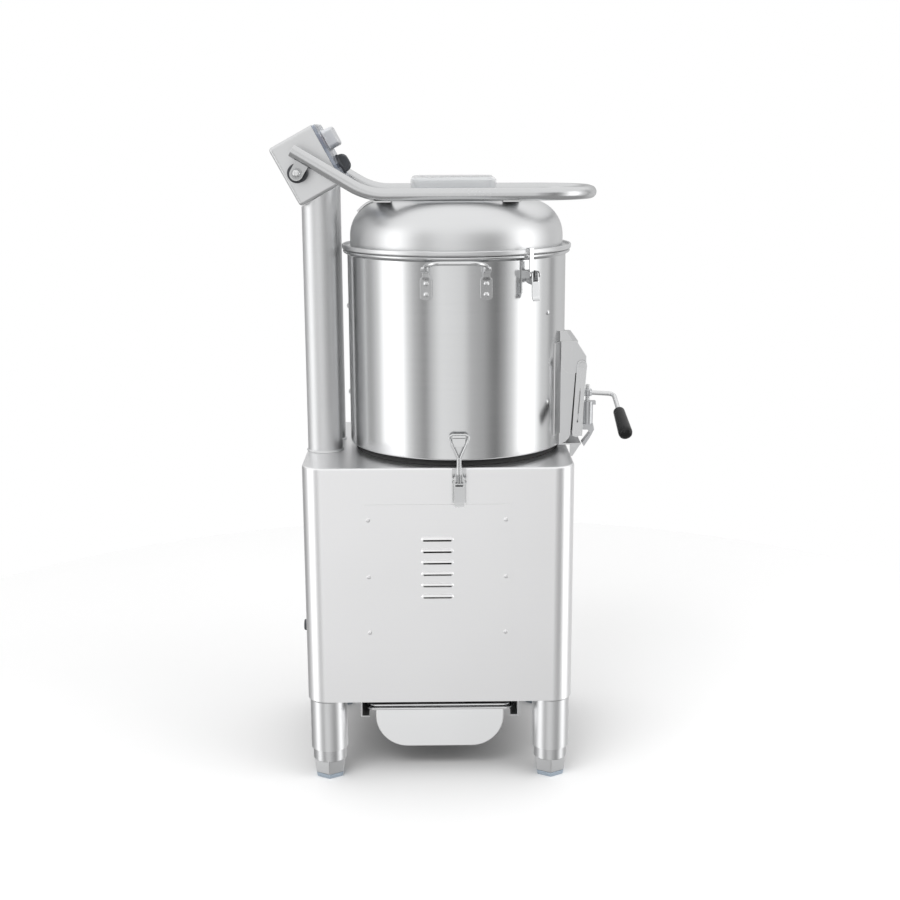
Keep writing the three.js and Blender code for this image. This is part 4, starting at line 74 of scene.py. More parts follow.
# How far apart two places may be and still count as level, and how squarely a face has to face.
LEVEL_WITHIN = 0.01 * MM
SLACK = 0.1 * MM
SQUARE = 0.9
MERGE = 0.001 * MM
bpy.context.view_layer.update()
SPINDLE_LOW, SPINDLE_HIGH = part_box("disc_spindle")
AXIS_X = (SPINDLE_LOW.x + SPINDLE_HIGH.x) / 2

Colour = tuple[float, float, float]


class Grain(Enum):
    """Which way the brush lines run on a piece, as noise scales along x, y and z."""

    LEVEL = (9.0, 9.0, 1500.0)
    UPRIGHT = (1100.0, 1100.0, 7.0)
    ACROSS = (8.0, 1300.0, 1300.0)
    CAST = (420.0, 420.0, 420.0)


class NodeTree:
    """Adds and joins shader nodes in one node tree."""

    def __init__(self, tree: bpy.types.NodeTree) -> None:
        """Keeps the tree that the nodes go in."""
        self.tree = tree

    def add(self, kind: str, settings: Optional[dict] = None, **sockets: object) -> bpy.types.Node:
        """Adds a node.

        Args:
            kind: The node's type, without its ShaderNode prefix.
            settings: Properties of the node itself.
            **sockets: A value or an output for each input, with _ for a space in its name.

        Returns:
            The new node.
        """
        node = self.tree.nodes.new("ShaderNode" + kind)
        for key, value in (settings or {}).items():
            setattr(node, key, value)
        for key, value in sockets.items():
            self.feed(node.inputs[key.replace("_", " ")], value)
        return node

    def feed(self, socket: bpy.types.NodeSocket, value: object) -> None:
        """Joins an output to a socket, or sets the socket's own value.

        Args:
            socket: The input that is fed.
            value: An output, or a plain value.
        """
        if isinstance(value, bpy.types.NodeSocket):
            self.tree.links.new(value, socket)
        else:
            socket.default_value = value

    def maths(self, operation: str, *values: object, clamp: bool = False) -> bpy.types.NodeSocket:
        """Adds a Math node.

        Args:
            operation: The Math node's operation.
            *values: A number or an output for each input.
            clamp: True to keep the result from 0 to 1.

        Returns:
            The node's output.
        """
        node = self.add("Math", {"operation": operation, "use_clamp": clamp})
        for socket, value in zip(node.inputs, values):
            self.feed(socket, value)
        return node.outputs[0]

    def blend(self, share: object, first: object, second: object) -> bpy.types.NodeSocket:
        """Mixes two colours.

        Args:
            share: How much of the second colour shows, from 0 to 1.
            first: A colour or an output.
            second: A colour or an output.

        Returns:
            The mixed colour's output.
        """
        node = self.add("Mix", {"data_type": "RGBA"})
        for index, value in ((0, share), (6, first), (7, second)):
            opaque = (*value, 1.0) if isinstance(value, tuple) and len(value) == 3 else value
            self.feed(node.inputs[index], opaque)
        return node.outputs[2]

    def between(self, value: object, low: object, high: object) -> bpy.types.NodeSocket:
        """Maps 0 to 1 onto a span.

        Args:
            value: The output that is mapped.
            low: What 0 becomes.
            high: What 1 becomes.

        Returns:
            The mapped output.
        """
        node = self.add("MapRange", Value=value)
        self.feed(node.inputs["To Min"], low)
        self.feed(node.inputs["To Max"], high)
        return node.outputs[0]


class EffectGroups:
    """The shader node groups that several finishes share, each built once."""

    line_detail: float = 3.0
    line_roughness: float = 0.62
    cloud_detail: float = 4.0
    wear_samples: int = 4
    wear_gain: float = 8.0
    patch_scale: float = 90.0
    speck_detail: float = 2.0

    def __init__(self) -> None:
        """Builds the groups."""
        self.grain = self._grain()
        self.wear = self._wear()
        self.speck = self._speck()

    @staticmethod
    def _new(
        name: str, inputs: Sequence[tuple[str, str, object]], outputs: Sequence[tuple[str, str]]
    ) -> tuple[bpy.types.NodeTree, NodeTree, bpy.types.Node, bpy.types.Node]:
        """Starts a group.

        Args:
            name: The group's name.
            inputs: Name, socket kind and default value of each input.
            outputs: Name and socket kind of each output.

        Returns:
            The group, its NodeTree, its input node and its output node.
        """
        tree = bpy.data.node_groups.new(name, "ShaderNodeTree")
        for label, kind, value in inputs:
            tree.interface.new_socket(label, in_out="INPUT", socket_type=kind).default_value = value
        for label, kind in outputs:
            tree.interface.new_socket(label, in_out="OUTPUT", socket_type=kind)
        start = tree.nodes.new("NodeGroupInput")
        end = tree.nodes.new("NodeGroupOutput")
        return tree, NodeTree(tree), start, end

    def _grain(self) -> bpy.types.NodeTree:
        """Builds brush lines along one direction, with slow clouds of handling marks."""
        tree, nodes, start, end = self._new(
            "brush_grain",
            [("Scale", "NodeSocketVector", Grain.LEVEL.value), ("Cloud Size", "NodeSocketFloat", 6.0)],
            [("Streak", "NodeSocketFloat"), ("Cloud", "NodeSocketFloat")],
        )
        place = nodes.add("TexCoord").outputs["Object"]
        stretched = nodes.add("VectorMath", {"operation": "MULTIPLY"})
        nodes.feed(stretched.inputs[0], place)
        nodes.feed(stretched.inputs[1], start.outputs["Scale"])
        fine = nodes.add("TexNoise", Vector=stretched.outputs[0], Scale=1.0)
        nodes.feed(fine.inputs["Detail"], self.line_detail)
        nodes.feed(fine.inputs["Roughness"], self.line_roughness)
        size = start.outputs["Cloud Size"]
        cloud = nodes.add("TexNoise", Vector=place, Scale=size, Detail=self.cloud_detail)
        nodes.feed(end.inputs["Streak"], fine.outputs["Fac"])
        nodes.feed(end.inputs["Cloud"], cloud.outputs["Fac"])
        return tree

    def _wear(self) -> bpy.types.NodeTree:
        """Builds a mask of the edges that hands and cloths rub bright."""
        tree, nodes, start, end = self._new(
            "edge_wear",
            [("Width", "NodeSocketFloat", 0.001), ("Amount", "NodeSocketFloat", 1.0)],
            [("Mask", "NodeSocketFloat")],
        )
        rounded = nodes.add("Bevel", {"samples": self.wear_samples}, Radius=start.outputs["Width"])
        plain = nodes.add("NewGeometry")
        turned = nodes.add("VectorMath", {"operation": "DOT_PRODUCT"})
        nodes.feed(turned.inputs[0], rounded.outputs["Normal"])
        nodes.feed(turned.inputs[1], plain.outputs["True Normal"])
        edge = nodes.maths("SUBTRACT", 1.0, turned.outputs["Value"])
        place = nodes.add("TexCoord").outputs["Object"]
        patches = nodes.add("TexNoise", Vector=place, Scale=self.patch_scale, Detail=self.cloud_detail)
        broken = nodes.maths("MULTIPLY", edge, patches.outputs["Fac"])
        gain = nodes.maths("MULTIPLY", start.outputs["Amount"], self.wear_gain)
        mask = nodes.maths("MULTIPLY", broken, gain, clamp=True)
        nodes.feed(end.inputs["Mask"], mask)
        return tree

    def _speck(self) -> bpy.types.NodeTree:
        """Builds moulded or gritty grain: a height and a scatter of grain shades."""
        tree, nodes, start, end = self._new(
            "fine_speck",
            [("Size", "NodeSocketFloat", 900.0), ("Sharpness", "NodeSocketFloat", 0.5)],
            [("Height", "NodeSocketFloat"), ("Shade", "NodeSocketFloat")],
        )
        place = nodes.add("TexCoord").outputs["Object"]
        size = start.outputs["Size"]
        grains = nodes.add("TexVoronoi", Vector=place, Scale=size)
        soft = nodes.add("TexNoise", Vector=place, Scale=size, Detail=self.speck_detail)
        height = nodes.add("Mix")
        nodes.feed(height.inputs[0], start.outputs["Sharpness"])
        nodes.feed(height.inputs[2], soft.outputs["Fac"])
        nodes.feed(height.inputs[3], grains.outputs["Distance"])
        shade = nodes.add("SeparateColor", Color=grains.outputs["Color"])
        nodes.feed(end.inputs["Height"], height.outputs[0])
        nodes.feed(end.inputs["Shade"], shade.outputs[0])
        return tree


EFFECTS = EffectGroups()


@dataclass(frozen=True)
class Finish:
    """What every finish has: a name, and a way to make its material."""

    name: str

    @staticmethod
    def grain_of(nodes: NodeTree, scale: Sequence[float], cloud_size: float) -> bpy.types.Node:
        """Adds the shared grain group and gives its node."""
        return nodes.add("Group", {"node_tree": EFFECTS.grain}, Scale=scale, Cloud_Size=cloud_size)

    @staticmethod
    def worn_of(nodes: NodeTree, width: float, amount: float) -> bpy.types.NodeSocket:
        """Adds the shared edge wear group and gives its mask."""
        return nodes.add("Group", {"node_tree": EFFECTS.wear}, Width=width, Amount=amount).outputs["Mask"]

    @staticmethod
    def speck_of(nodes: NodeTree, size: float, sharpness: float) -> bpy.types.Node:
        """Adds the shared speck group and gives its node."""
        return nodes.add("Group", {"node_tree": EFFECTS.speck}, Size=size, Sharpness=sharpness)

    def shader(self) -> tuple[bpy.types.Material, NodeTree, bpy.types.Node]:
        """Starts the material.

        Returns:
            The material, its node builder and its Principled BSDF.
        """
        material = bpy.data.materials.new(self.name)
        material.use_nodes = True
        nodes = NodeTree(material.node_tree)
        return material, nodes, material.node_tree.nodes["Principled BSDF"]

    def build(self) -> bpy.types.Material:
        """Makes the material, once for each finish."""
        made = bpy.data.materials.get(self.name)
        return made if made else self._build()

    def _build(self) -> bpy.types.Material:
        """Makes the material anew."""
        raise NotImplementedError


@dataclass(frozen=True)
class SteelFinish(Finish):
    """Stainless steel with brush lines, handling clouds and rubbed edges."""

    colour: Colour
    roughness: float
    grain: Grain
    line_depth: float = 0.00004
    line_spread: float = 0.10
    cloud_spread: float = 0.06
    cloud_size: float = 6.0
    shade_spread: float = 0.05
    wear: float = 0.5
    wear_width: float = 1.2 * MM
    rubbed_colour: Colour = (0.93, 0.93, 0.92)
    line_strength: float = 0.35

    def _build(self) -> bpy.types.Material:
        """Makes the steel."""
        material, nodes, shader = self.shader()
        grain = self.grain_of(nodes, self.grain.value, self.cloud_size)
        streak, cloud = grain.outputs["Streak"], grain.outputs["Cloud"]
        worn = self.worn_of(nodes, self.wear_width, self.wear)
        dark = tuple(c * (1 - self.shade_spread) for c in self.colour)
        light = tuple(min(1.0, c * (1 + self.shade_spread)) for c in self.colour)
        shaded = nodes.blend(streak, dark, light)
        nodes.feed(shader.inputs["Base Color"], nodes.blend(worn, shaded, self.rubbed_colour))
        half = self.line_spread / 2
        lines = nodes.between(streak, self.roughness - half, self.roughness + half)
        marks = nodes.between(cloud, -self.cloud_spread, self.cloud_spread)
        nodes.feed(shader.inputs["Roughness"], nodes.maths("ADD", lines, marks, clamp=True))
        bump = nodes.add("Bump", Strength=self.line_strength, Distance=self.line_depth, Height=streak)
        nodes.feed(shader.inputs["Normal"], bump.outputs[0])
        shader.inputs["Metallic"].default_value = 1.0
        return material


@dataclass(frozen=True)
class MouldedFinish(Finish):
    """Plastic, rubber or enamel: a body colour with fine grain, dust and worn edges."""

    colour: Colour
    roughness: float
    worn_colour: Colour
    grain_size: float = 900.0
    grain_depth: float = 0.00006
    sharpness: float = 0.3
    wear: float = 0.6
    see_through: float = 0.0
    coat: float = 0.0
    shine: float = 0.5
    cloud_size: float = 22.0
    deep_share: float = 0.86
    wear_width: float = 0.8 * MM
    wear_polish: float = 0.1
    grain_strength: float = 0.5
    smoother: float = 0.06
    rougher: float = 0.08

    def _build(self) -> bpy.types.Material:
        """Makes the moulded material."""
        material, nodes, shader = self.shader()
        speck = self.speck_of(nodes, self.grain_size, self.sharpness)
        cloud = self.grain_of(nodes, Grain.CAST.value, self.cloud_size).outputs["Cloud"]
        worn = self.worn_of(nodes, self.wear_width, self.wear)
        deep = tuple(c * self.deep_share for c in self.colour)
        body = nodes.blend(cloud, deep, self.colour)
        nodes.feed(shader.inputs["Base Color"], nodes.blend(worn, body, self.worn_colour))
        rough = nodes.between(cloud, self.roughness - self.smoother, self.roughness + self.rougher)
        polish = nodes.maths("MULTIPLY", worn, -self.wear_polish)
        nodes.feed(shader.inputs["Roughness"], nodes.maths("ADD", rough, polish, clamp=True))
        height = speck.outputs["Height"]
        bump = nodes.add("Bump", Strength=self.grain_strength, Distance=self.grain_depth, Height=height)
        nodes.feed(shader.inputs["Normal"], bump.outputs[0])
        shader.inputs["Transmission Weight"].default_value = self.see_through
        shader.inputs["Coat Weight"].default_value = self.coat
        shader.inputs["Specular IOR Level"].default_value = self.shine
        return material


@dataclass(frozen=True)
class ClearFinish(Finish):
    """Clear moulded plastic with faint flow lines and handling marks."""

    colour: Colour
    roughness: float
    opacity: float
    flow_scale: tuple[float, float, float] = (60.0, 60.0, 60.0)
    flow_strength: float = 0.08
    flow_depth: float = 0.2 * MM
    cloud_size: float = 14.0
    tint_share: float = 0.94
    smooth_share: float = 0.6
    hazy_share: float = 1.5
    haze: float = 0.05
    bending: float = 1.49
    coat: float = 0.6

    def _build(self) -> bpy.types.Material:
        """Makes the clear plastic."""
        material, nodes, shader = self.shader()
        grain = self.grain_of(nodes, self.flow_scale, self.cloud_size)
        cloud = grain.outputs["Cloud"]
        tint = tuple(c * self.tint_share for c in self.colour)
        nodes.feed(shader.inputs["Base Color"], nodes.blend(cloud, tint, self.colour))
        rough = nodes.between(cloud, self.roughness * self.smooth_share, self.roughness * self.hazy_share)
        nodes.feed(shader.inputs["Roughness"], rough)
        solid = nodes.between(cloud, self.opacity - self.haze, self.opacity + self.haze)
        nodes.feed(shader.inputs["Alpha"], solid)
        flow = grain.outputs["Streak"]
        bump = nodes.add("Bump", Strength=self.flow_strength, Distance=self.flow_depth, Height=flow)
        nodes.feed(shader.inputs["Normal"], bump.outputs[0])
        shader.inputs["IOR"].default_value = self.bending
        shader.inputs["Coat Weight"].default_value = self.coat
        return material


@dataclass(frozen=True)
class GritFinish(Finish):
    """Bonded abrasive grit in a resin, from dark to glassy grains."""

    dark: Colour
    light: Colour
    grain_size: float = 620.0
    sharpness: float = 0.9
    dull: float = 0.95
    glassy: float = 0.45
    grain_strength: float = 0.9
    grain_depth: float = 0.9 * MM

    def _build(self) -> bpy.types.Material:
        """Makes the grit."""
        material, nodes, shader = self.shader()
        speck = self.speck_of(nodes, self.grain_size, self.sharpness)
        shade, height = speck.outputs["Shade"], speck.outputs["Height"]
        nodes.feed(shader.inputs["Base Color"], nodes.blend(shade, self.dark, self.light))
        nodes.feed(shader.inputs["Roughness"], nodes.between(shade, self.dull, self.glassy))
        bump = nodes.add("Bump", Strength=self.grain_strength, Distance=self.grain_depth, Height=height)
        nodes.feed(shader.inputs["Normal"], bump.outputs[0])
        return material


def steel(name: str, shade: float, roughness: float, grain: Grain, **more: float) -> SteelFinish:
    """Gives a steel whose colour is a grey a touch cooler than neutral.

    Args:
        name: The finish's name, before its ending.
        shade: How light the steel is, from 0 to 1.
        roughness: The middle of its roughness.
        grain: Which way its lines run.
        **more: Any other field of the finish.

    Returns:
        The finish.
    """
    cool = 0.005
    return SteelFinish(f"{name}_steel", (shade, shade + cool, shade + 2 * cool), roughness, grain, **more)


DRUM_STEEL = steel("drum", 0.66, 0.17, Grain.LEVEL, line_spread=0.07)
DOME_STEEL = steel("dome", 0.74, 0.38, Grain.LEVEL, shade_spread=0.02)
SHEET_STEEL = SteelFinish(
    "sheet_steel", (0.92, 0.92, 0.925), 0.34, Grain.LEVEL,
    line_spread=0.05, shade_spread=0.015, cloud_spread=0.03,
)
TUBE_STEEL = steel("tube", 0.76, 0.33, Grain.UPRIGHT, shade_spread=0.03)
ROD_STEEL = steel("rod", 0.72, 0.20, Grain.ACROSS, shade_spread=0.03)
PLATE_STEEL = steel("plate", 0.70, 0.28, Grain.UPRIGHT, shade_spread=0.04)
WIRE_STEEL = steel("wire", 0.70, 0.16, Grain.LEVEL)
TRAY_STEEL = steel("tray", 0.90, 0.24, Grain.ACROSS, shade_spread=0.02)
FRAME_STEEL = steel("frame", 0.60, 0.35, Grain.ACROSS)
DUCT_STEEL = steel("duct", 0.68, 0.30, Grain.UPRIGHT, shade_spread=0.03)
POST_STEEL = steel("post", 0.76, 0.46, Grain.LEVEL, shade_spread=0.03)
BOX_STEEL = steel("box", 0.70, 0.34, Grain.UPRIGHT, line_spread=0.06, shade_spread=0.02)
HOOP_STEEL = steel("hoop", 0.63, 0.24, Grain.CAST, line_depth=0.01 * MM, shade_spread=0.02)
EAR_STEEL = steel("ear", 0.54, 0.34, Grain.UPRIGHT, shade_spread=0.03)
SCREW_STEEL = steel("screw", 0.70, 0.24, Grain.CAST, line_depth=0.01 * MM)
FOOT_STEEL = steel("foot", 0.66, 0.30, Grain.ACROSS)
DARK_STEEL = steel("dark", 0.42, 0.26, Grain.UPRIGHT)
LATCH_STEEL = steel("latch", 0.60, 0.22, Grain.UPRIGHT, line_spread=0.06)
CAST_METAL = SteelFinish(
    "cast_metal", (0.56, 0.565, 0.57), 0.42, Grain.CAST, line_depth=0.4 * MM, cloud_size=30.0
)
BLACK_RUBBER = MouldedFinish(
    "black_rubber", (0.016, 0.016, 0.017), 0.72, (0.022, 0.022, 0.022), shine=0.2
)
BLACK_PLASTIC = MouldedFinish(
    "black_plastic", (0.010, 0.010, 0.011), 0.40, (0.018, 0.018, 0.019), shine=0.12
)
GRIP_PLASTIC = MouldedFinish(
    "grip_plastic", (0.010, 0.010, 0.011), 0.26, (0.02, 0.02, 0.02), shine=0.35
)
WHITE_PLASTIC = MouldedFinish(
    "white_plastic", (0.86, 0.88, 0.89), 0.30, (0.95, 0.95, 0.95), coat=0.3
)
BOOT_RUBBER = MouldedFinish(
    "boot_rubber", (0.90, 0.91, 0.93), 0.34, (0.97, 0.97, 0.98), see_through=0.2
)
PAD_PLASTIC = MouldedFinish("pad_plastic", (0.46, 0.54, 0.62), 0.45, (0.6, 0.66, 0.72))
MOTOR_PAINT = MouldedFinish("motor_enamel", (0.047, 0.083, 0.125), 0.38, (0.35, 0.36, 0.37), coat=0.4)
GREEN_PLASTIC = MouldedFinish("green_plastic", (0.025, 0.26, 0.07), 0.30, (0.2, 0.5, 0.3), coat=0.5)
RED_PLASTIC = MouldedFinish("red_plastic", (0.45, 0.02, 0.022), 0.30, (0.6, 0.3, 0.3), coat=0.5)
CLEAR_SHEET = ClearFinish("clear_sheet", (0.90, 0.92, 0.94), 0.10, 0.36)
CLEAR_COVER = ClearFinish("clear_cover", (0.44, 0.50, 0.62), 0.10, 0.52)
GRIT = GritFinish("abrasive_grit", (0.05, 0.048, 0.045), (0.34, 0.33, 0.30))

NODE_SLOTS = {entry["node"]: entry["material_slot"] for entry in frame["record"]["subparts"]}
NODE_BODIES = {
    node: body for body, nodes in frame["record"]["behaviour"]["bodies"].items() for node in nodes
}
DRUM_BODY, DRUM_SLOT = NODE_BODIES["drum_shell"], NODE_SLOTS["drum_shell"]


class Bench:
    """The steps that shape a mesh: every one selects what it works on first."""

    @staticmethod
    def only(piece: bpy.types.Object) -> None:
        """Selects one object and makes it active.

        Args:
            piece: The object.
        """
        if bpy.context.object and bpy.context.object.mode != "OBJECT":
            bpy.ops.object.mode_set(mode="OBJECT")
        bpy.ops.object.select_all(action="DESELECT")
        piece.select_set(True)
        bpy.context.view_layer.objects.active = piece

    @classmethod
    def modify(cls, piece: bpy.types.Object, kind: str, **settings: object) -> None:
        """Adds a modifier and applies it.

        Args:
            piece: The mesh object.
            kind: The modifier's type.
            **settings: The modifier's properties.
        """
        cls.only(piece)
        modifier = piece.modifiers.new(kind.lower(), kind)
        for key, value in settings.items():
            setattr(modifier, key, value)
        bpy.ops.object.modifier_apply(modifier=modifier.name)

    @classmethod
    def settle(
        cls, piece: bpy.types.Object, finish: Finish, body: str, slot: str,
        smooth: float = 40.0, stands_for: Sequence[str] = (),
    ) -> bpy.types.Object:
        """Ends a piece: its place goes into its mesh, and it gets its shading, finish and body.

        Args:
            piece: The mesh object.
            finish: The finish that it wears.
            body: The body that it moves with.
            slot: The record's material slot; not used.
            smooth: The angle in degrees up to which neighbouring faces shade as one.
            stands_for: The nodes that the piece is shown in place of.

        Returns:
            The piece.
        """
        cls.only(piece)
        bpy.ops.object.transform_apply(location=True, rotation=True, scale=True)
        bpy.ops.object.shade_smooth_by_angle(angle=math.radians(smooth))
        cls.modify(piece, "WEIGHTED_NORMAL", keep_sharp=True, weight=60)
        piece.data.materials.clear()
        piece.data.materials.append(finish.build())
        if stands_for:
            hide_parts(*stands_for)
        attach(piece, body)
        LOG.info("piece %s: %d faces on %s", piece.name, len(piece.data.polygons), body)
        return piece

    @classmethod
    def for_node(
        cls, piece: bpy.types.Object, finish: Finish, node: str, smooth: float = 40.0
    ) -> bpy.types.Object:
        """Ends a piece that is shown in place of one node, on that node's body."""
        return cls.settle(piece, finish, NODE_BODIES[node], NODE_SLOTS[node], smooth, (node,))

    @classmethod
    def copied(cls, piece: bpy.types.Object, name: str, move: Matrix) -> bpy.types.Object:
        """Copies a piece with a mesh of its own.

        Args:
            piece: The piece as it was modelled, before it is settled.
            name: The copy's name.
            move: What takes the piece's place to the copy's.

        Returns:
            The copy, with its faces turned out again where the move mirrors them.
        """
        twin = bpy.data.objects.new(name, piece.data.copy())
        bpy.context.scene.collection.objects.link(twin)
        twin.matrix_world = move
        cls.only(twin)
        bpy.ops.object.transform_apply(location=True, rotation=True, scale=True)
        bpy.ops.object.mode_set(mode="EDIT")
        bpy.ops.mesh.select_all(action="SELECT")
        bpy.ops.mesh.normals_make_consistent(inside=False)
        bpy.ops.object.mode_set(mode="OBJECT")
        return twin

    @classmethod
    def moved(cls, piece: bpy.types.Object, name: str, move: Matrix) -> bpy.types.Object:
        """Copies a piece to another place and removes the first.

        Args:
            piece: The piece as it was modelled.
            name: The copy's name.
            move: What takes the piece's place to the copy's.

        Returns:
            The copy.
        """
        twin = cls.copied(piece, name, move)
        bpy.data.objects.remove(piece)
        return twin

    @classmethod
    def cut(cls, piece: bpy.types.Object, *cutters: bpy.types.Object) -> bpy.types.Object:
        """Takes the cutters' room out of a piece, and removes the cutters.

        Args:
            piece: The piece that is cut.
            *cutters: Closed pieces that fill the room.

        Returns:
            The cut piece.
        """
        for cutter in cutters:
            cls.modify(piece, "BOOLEAN", object=cutter, operation="DIFFERENCE", solver="EXACT")
            bpy.data.objects.remove(cutter)
        return piece

    @classmethod
    def dressed_node(
        cls, node: str, finish: Finish, edge: float = FINE_EDGE, smooth: float = 42.0
    ) -> bpy.types.Object:
        """Copies a node, joins its loose triangles into faces, rounds its edges and dresses it.

        Args:
            node: The node's name.
            finish: The finish that it wears.
            edge: The radius put on its sharp edges.
            smooth: The angle in degrees up to which neighbouring faces shade as one.

        Returns:
            The dressed copy, which stands for the node.
        """
        source = frame["nodes"][node]
        piece = bpy.data.objects.new("dressed_" + node, source.data.copy())
        bpy.context.scene.collection.objects.link(piece)
        cls.only(piece)
        bpy.ops.object.mode_set(mode="EDIT")
        bpy.ops.mesh.select_all(action="SELECT")
        bpy.ops.mesh.remove_doubles(threshold=0.002 * MM)
        bpy.ops.mesh.dissolve_limited(angle_limit=math.radians(0.4))
        bpy.ops.object.mode_set(mode="OBJECT")
        if edge:
            limit = math.radians(smooth + 3.0)
            cls.modify(
                piece, "BEVEL", width=edge, segments=2, limit_method="ANGLE",
                angle_limit=limit, use_clamp_overlap=True,
            )
        return cls.for_node(piece, finish, node, smooth)


class Shaper:
    """Models one new mesh by a primitive and edit-mode steps, each on what the last left selected."""

    def __init__(self, name: str) -> None:
        """Keeps the name that the piece gets."""
        self.name = name
        self.piece: Optional[bpy.types.Object] = None

    def _opened(self) -> "Shaper":
        """Names the primitive just added, puts its place in its mesh and opens it for editing."""
        self.piece = bpy.context.object
        self.piece.name = self.name
        bpy.ops.object.transform_apply(location=True, rotation=True, scale=True)
        bpy.ops.object.mode_set(mode="EDIT")
        bpy.ops.mesh.select_all(action="SELECT")
        return self

    @staticmethod
    def _close() -> None:
        """Leaves edit mode if it is on, so that a primitive can be added."""
        if bpy.context.object and bpy.context.object.mode != "OBJECT":
            bpy.ops.object.mode_set(mode="OBJECT")

    def block(self, low: Sequence[float], high: Sequence[float]) -> "Shaper":
        """Starts with a block.

        Args:
            low: Its lowest corner.
            high: Its highest corner.

        Returns:
            The shaper.
        """
        self._close()
        middle = (Vector(low) + Vector(high)) / 2
        bpy.ops.mesh.primitive_cube_add(size=1.0, location=middle, scale=Vector(high) - Vector(low))
        return self._opened()

    def ring(
        self, centre: Sequence[float], axis: Sequence[float], radius: float, sides: int = 32
    ) -> "Shaper":
        """Starts with an open ring.

        Args:
            centre: The ring's middle.
            axis: The direction that it faces.
            radius: From its middle to a corner.
            sides: How many sides it has.

        Returns:
            The shaper.
        """
        self._close()
        turn = Vector(axis).to_track_quat("Z", "Y").to_euler()
        bpy.ops.mesh.primitive_circle_add(
            vertices=sides, radius=radius, fill_type="NOTHING", location=centre, rotation=turn
        )
        return self._opened()

    def rod(self, start: Vector, end: Vector, radius: float, sides: int) -> "Shaper":
        """Starts with a straight rod, closed at both ends."""
        return self.ring(start, end - start, radius, sides).drawn([start, end], ()).capped()

    def lathe(
        self, centre: Sequence[float], profile: Sequence[tuple[float, float]], steps: int = 128
    ) -> "Shaper":
        """Turns a closed profile about an upright axis.

        Args:
            centre: A point on the axis, from which the profile's heights run.
            profile: Radius and height of each corner of the profile.
            steps: The steps in the full turn.

        Returns:
            The shaper.
        """
        self._close()
        bpy.ops.mesh.primitive_plane_add(size=MM)
        self._opened()
        bpy.ops.mesh.merge(type="CENTER")
        middle = Vector(centre)
        corners = [middle + Vector((radius, 0, height)) for radius, height in profile]
        bpy.ops.transform.translate(value=corners[0])
        for before, after in zip(corners, corners[1:] + corners[:1]):
            bpy.ops.mesh.extrude_region_move(TRANSFORM_OT_translate={"value": after - before})
        bpy.ops.mesh.select_all(action="SELECT")
        bpy.ops.mesh.remove_doubles(threshold=MERGE)
        bpy.ops.mesh.spin(steps=steps, angle=2 * math.pi, center=middle, axis=(0, 0, 1))
        bpy.ops.mesh.select_all(action="SELECT")
        bpy.ops.mesh.remove_doubles(threshold=MERGE)
        return self

    def drawn(self, corners: Sequence[Vector], bends: Sequence[float], steps: int = 9) -> "Shaper":
        """Draws the selected ring along a route with a round bend at each inner corner.

        Args:
            corners: The route's corners; the ring sits at the first, facing the second.
            bends: The bend radius at each inner corner.
            steps: The steps in a right-angled bend.

        Returns:
            The shaper.
        """
        at = corners[0]
        for i, radius in enumerate(bends):
            before = (corners[i + 1] - corners[i]).normalized()
            after = (corners[i + 2] - corners[i + 1]).normalized()
            angle = before.angle(after)
            setback = radius * math.tan(angle / 2)
            start = corners[i + 1] - before * setback
            axis = before.cross(after).normalized()
            if (start - at).length > 0.01 * MM:
                bpy.ops.mesh.extrude_region_move(TRANSFORM_OT_translate={"value": start - at})
            count = max(2, round(steps * angle / (math.pi / 2)))
            middle = start + axis.cross(before) * radius
            bpy.ops.mesh.spin(steps=count, angle=-angle, center=middle, axis=axis)
            at = corners[i + 1] + after * setback
        bpy.ops.mesh.extrude_region_move(TRANSFORM_OT_translate={"value": corners[-1] - at})
        return self

    def joined(self) -> "Shaper":
        """Joins what lies on itself, as the two ends of a closed route do."""
        bpy.ops.mesh.select_all(action="SELECT")
        bpy.ops.mesh.remove_doubles(threshold=0.02 * MM)
        return self

    def capped(self) -> "Shaper":
        """Closes every open end with a face."""
        bpy.ops.mesh.select_all(action="SELECT")
        bpy.ops.mesh.fill_holes(sides=0)
        return self

    def faces(self, wanted: Callable[[Vector, Vector], bool]) -> "Shaper":
        """Selects faces.

        Args:
            wanted: A test of a face's centre and normal.

        Returns:
            The shaper.
        """
        bpy.ops.mesh.select_mode(type="FACE")
        bpy.ops.mesh.select_all(action="DESELECT")
        bpy.ops.object.mode_set(mode="OBJECT")
        for face in self.piece.data.polygons:
            face.select = wanted(face.center, face.normal)
        bpy.ops.object.mode_set(mode="EDIT")
        return self

    def edges(self, wanted: Callable[[Vector, Vector], bool]) -> "Shaper":
        """Selects edges.

        Args:
            wanted: A test of an edge's two ends.

        Returns:
            The shaper.
        """
        bpy.ops.mesh.select_mode(type="EDGE")
        bpy.ops.mesh.select_all(action="DESELECT")
        bpy.ops.object.mode_set(mode="OBJECT")
        mesh = self.piece.data
        for edge in mesh.edges:
            edge.select = wanted(*(mesh.vertices[i].co for i in edge.vertices))
        bpy.ops.object.mode_set(mode="EDIT")
        return self

    def bevel(self, width: float, segments: int = 3) -> "Shaper":
        """Rounds the selected edges."""
        bpy.ops.mesh.bevel(offset=width, segments=segments, profile=0.5, clamp_overlap=True)
        return self

    def all_edges(self, width: float, segments: int = 2) -> "Shaper":
        """Rounds every edge."""
        bpy.ops.mesh.select_all(action="SELECT")
        return self.bevel(width, segments)

    def drop(self) -> "Shaper":
        """Deletes the selected faces."""
        bpy.ops.mesh.delete(type="FACE")
        return self

    def recess(self, border: float, move: Sequence[float]) -> "Shaper":
        """Insets the selected face and sinks it.

        Args:
            border: How far it is inset.
            move: How far it is sunk, as a vector.

        Returns:
            The shaper.
        """
        bpy.ops.mesh.inset(thickness=border)
        bpy.ops.mesh.extrude_region_move(TRANSFORM_OT_translate={"value": move})
        return self

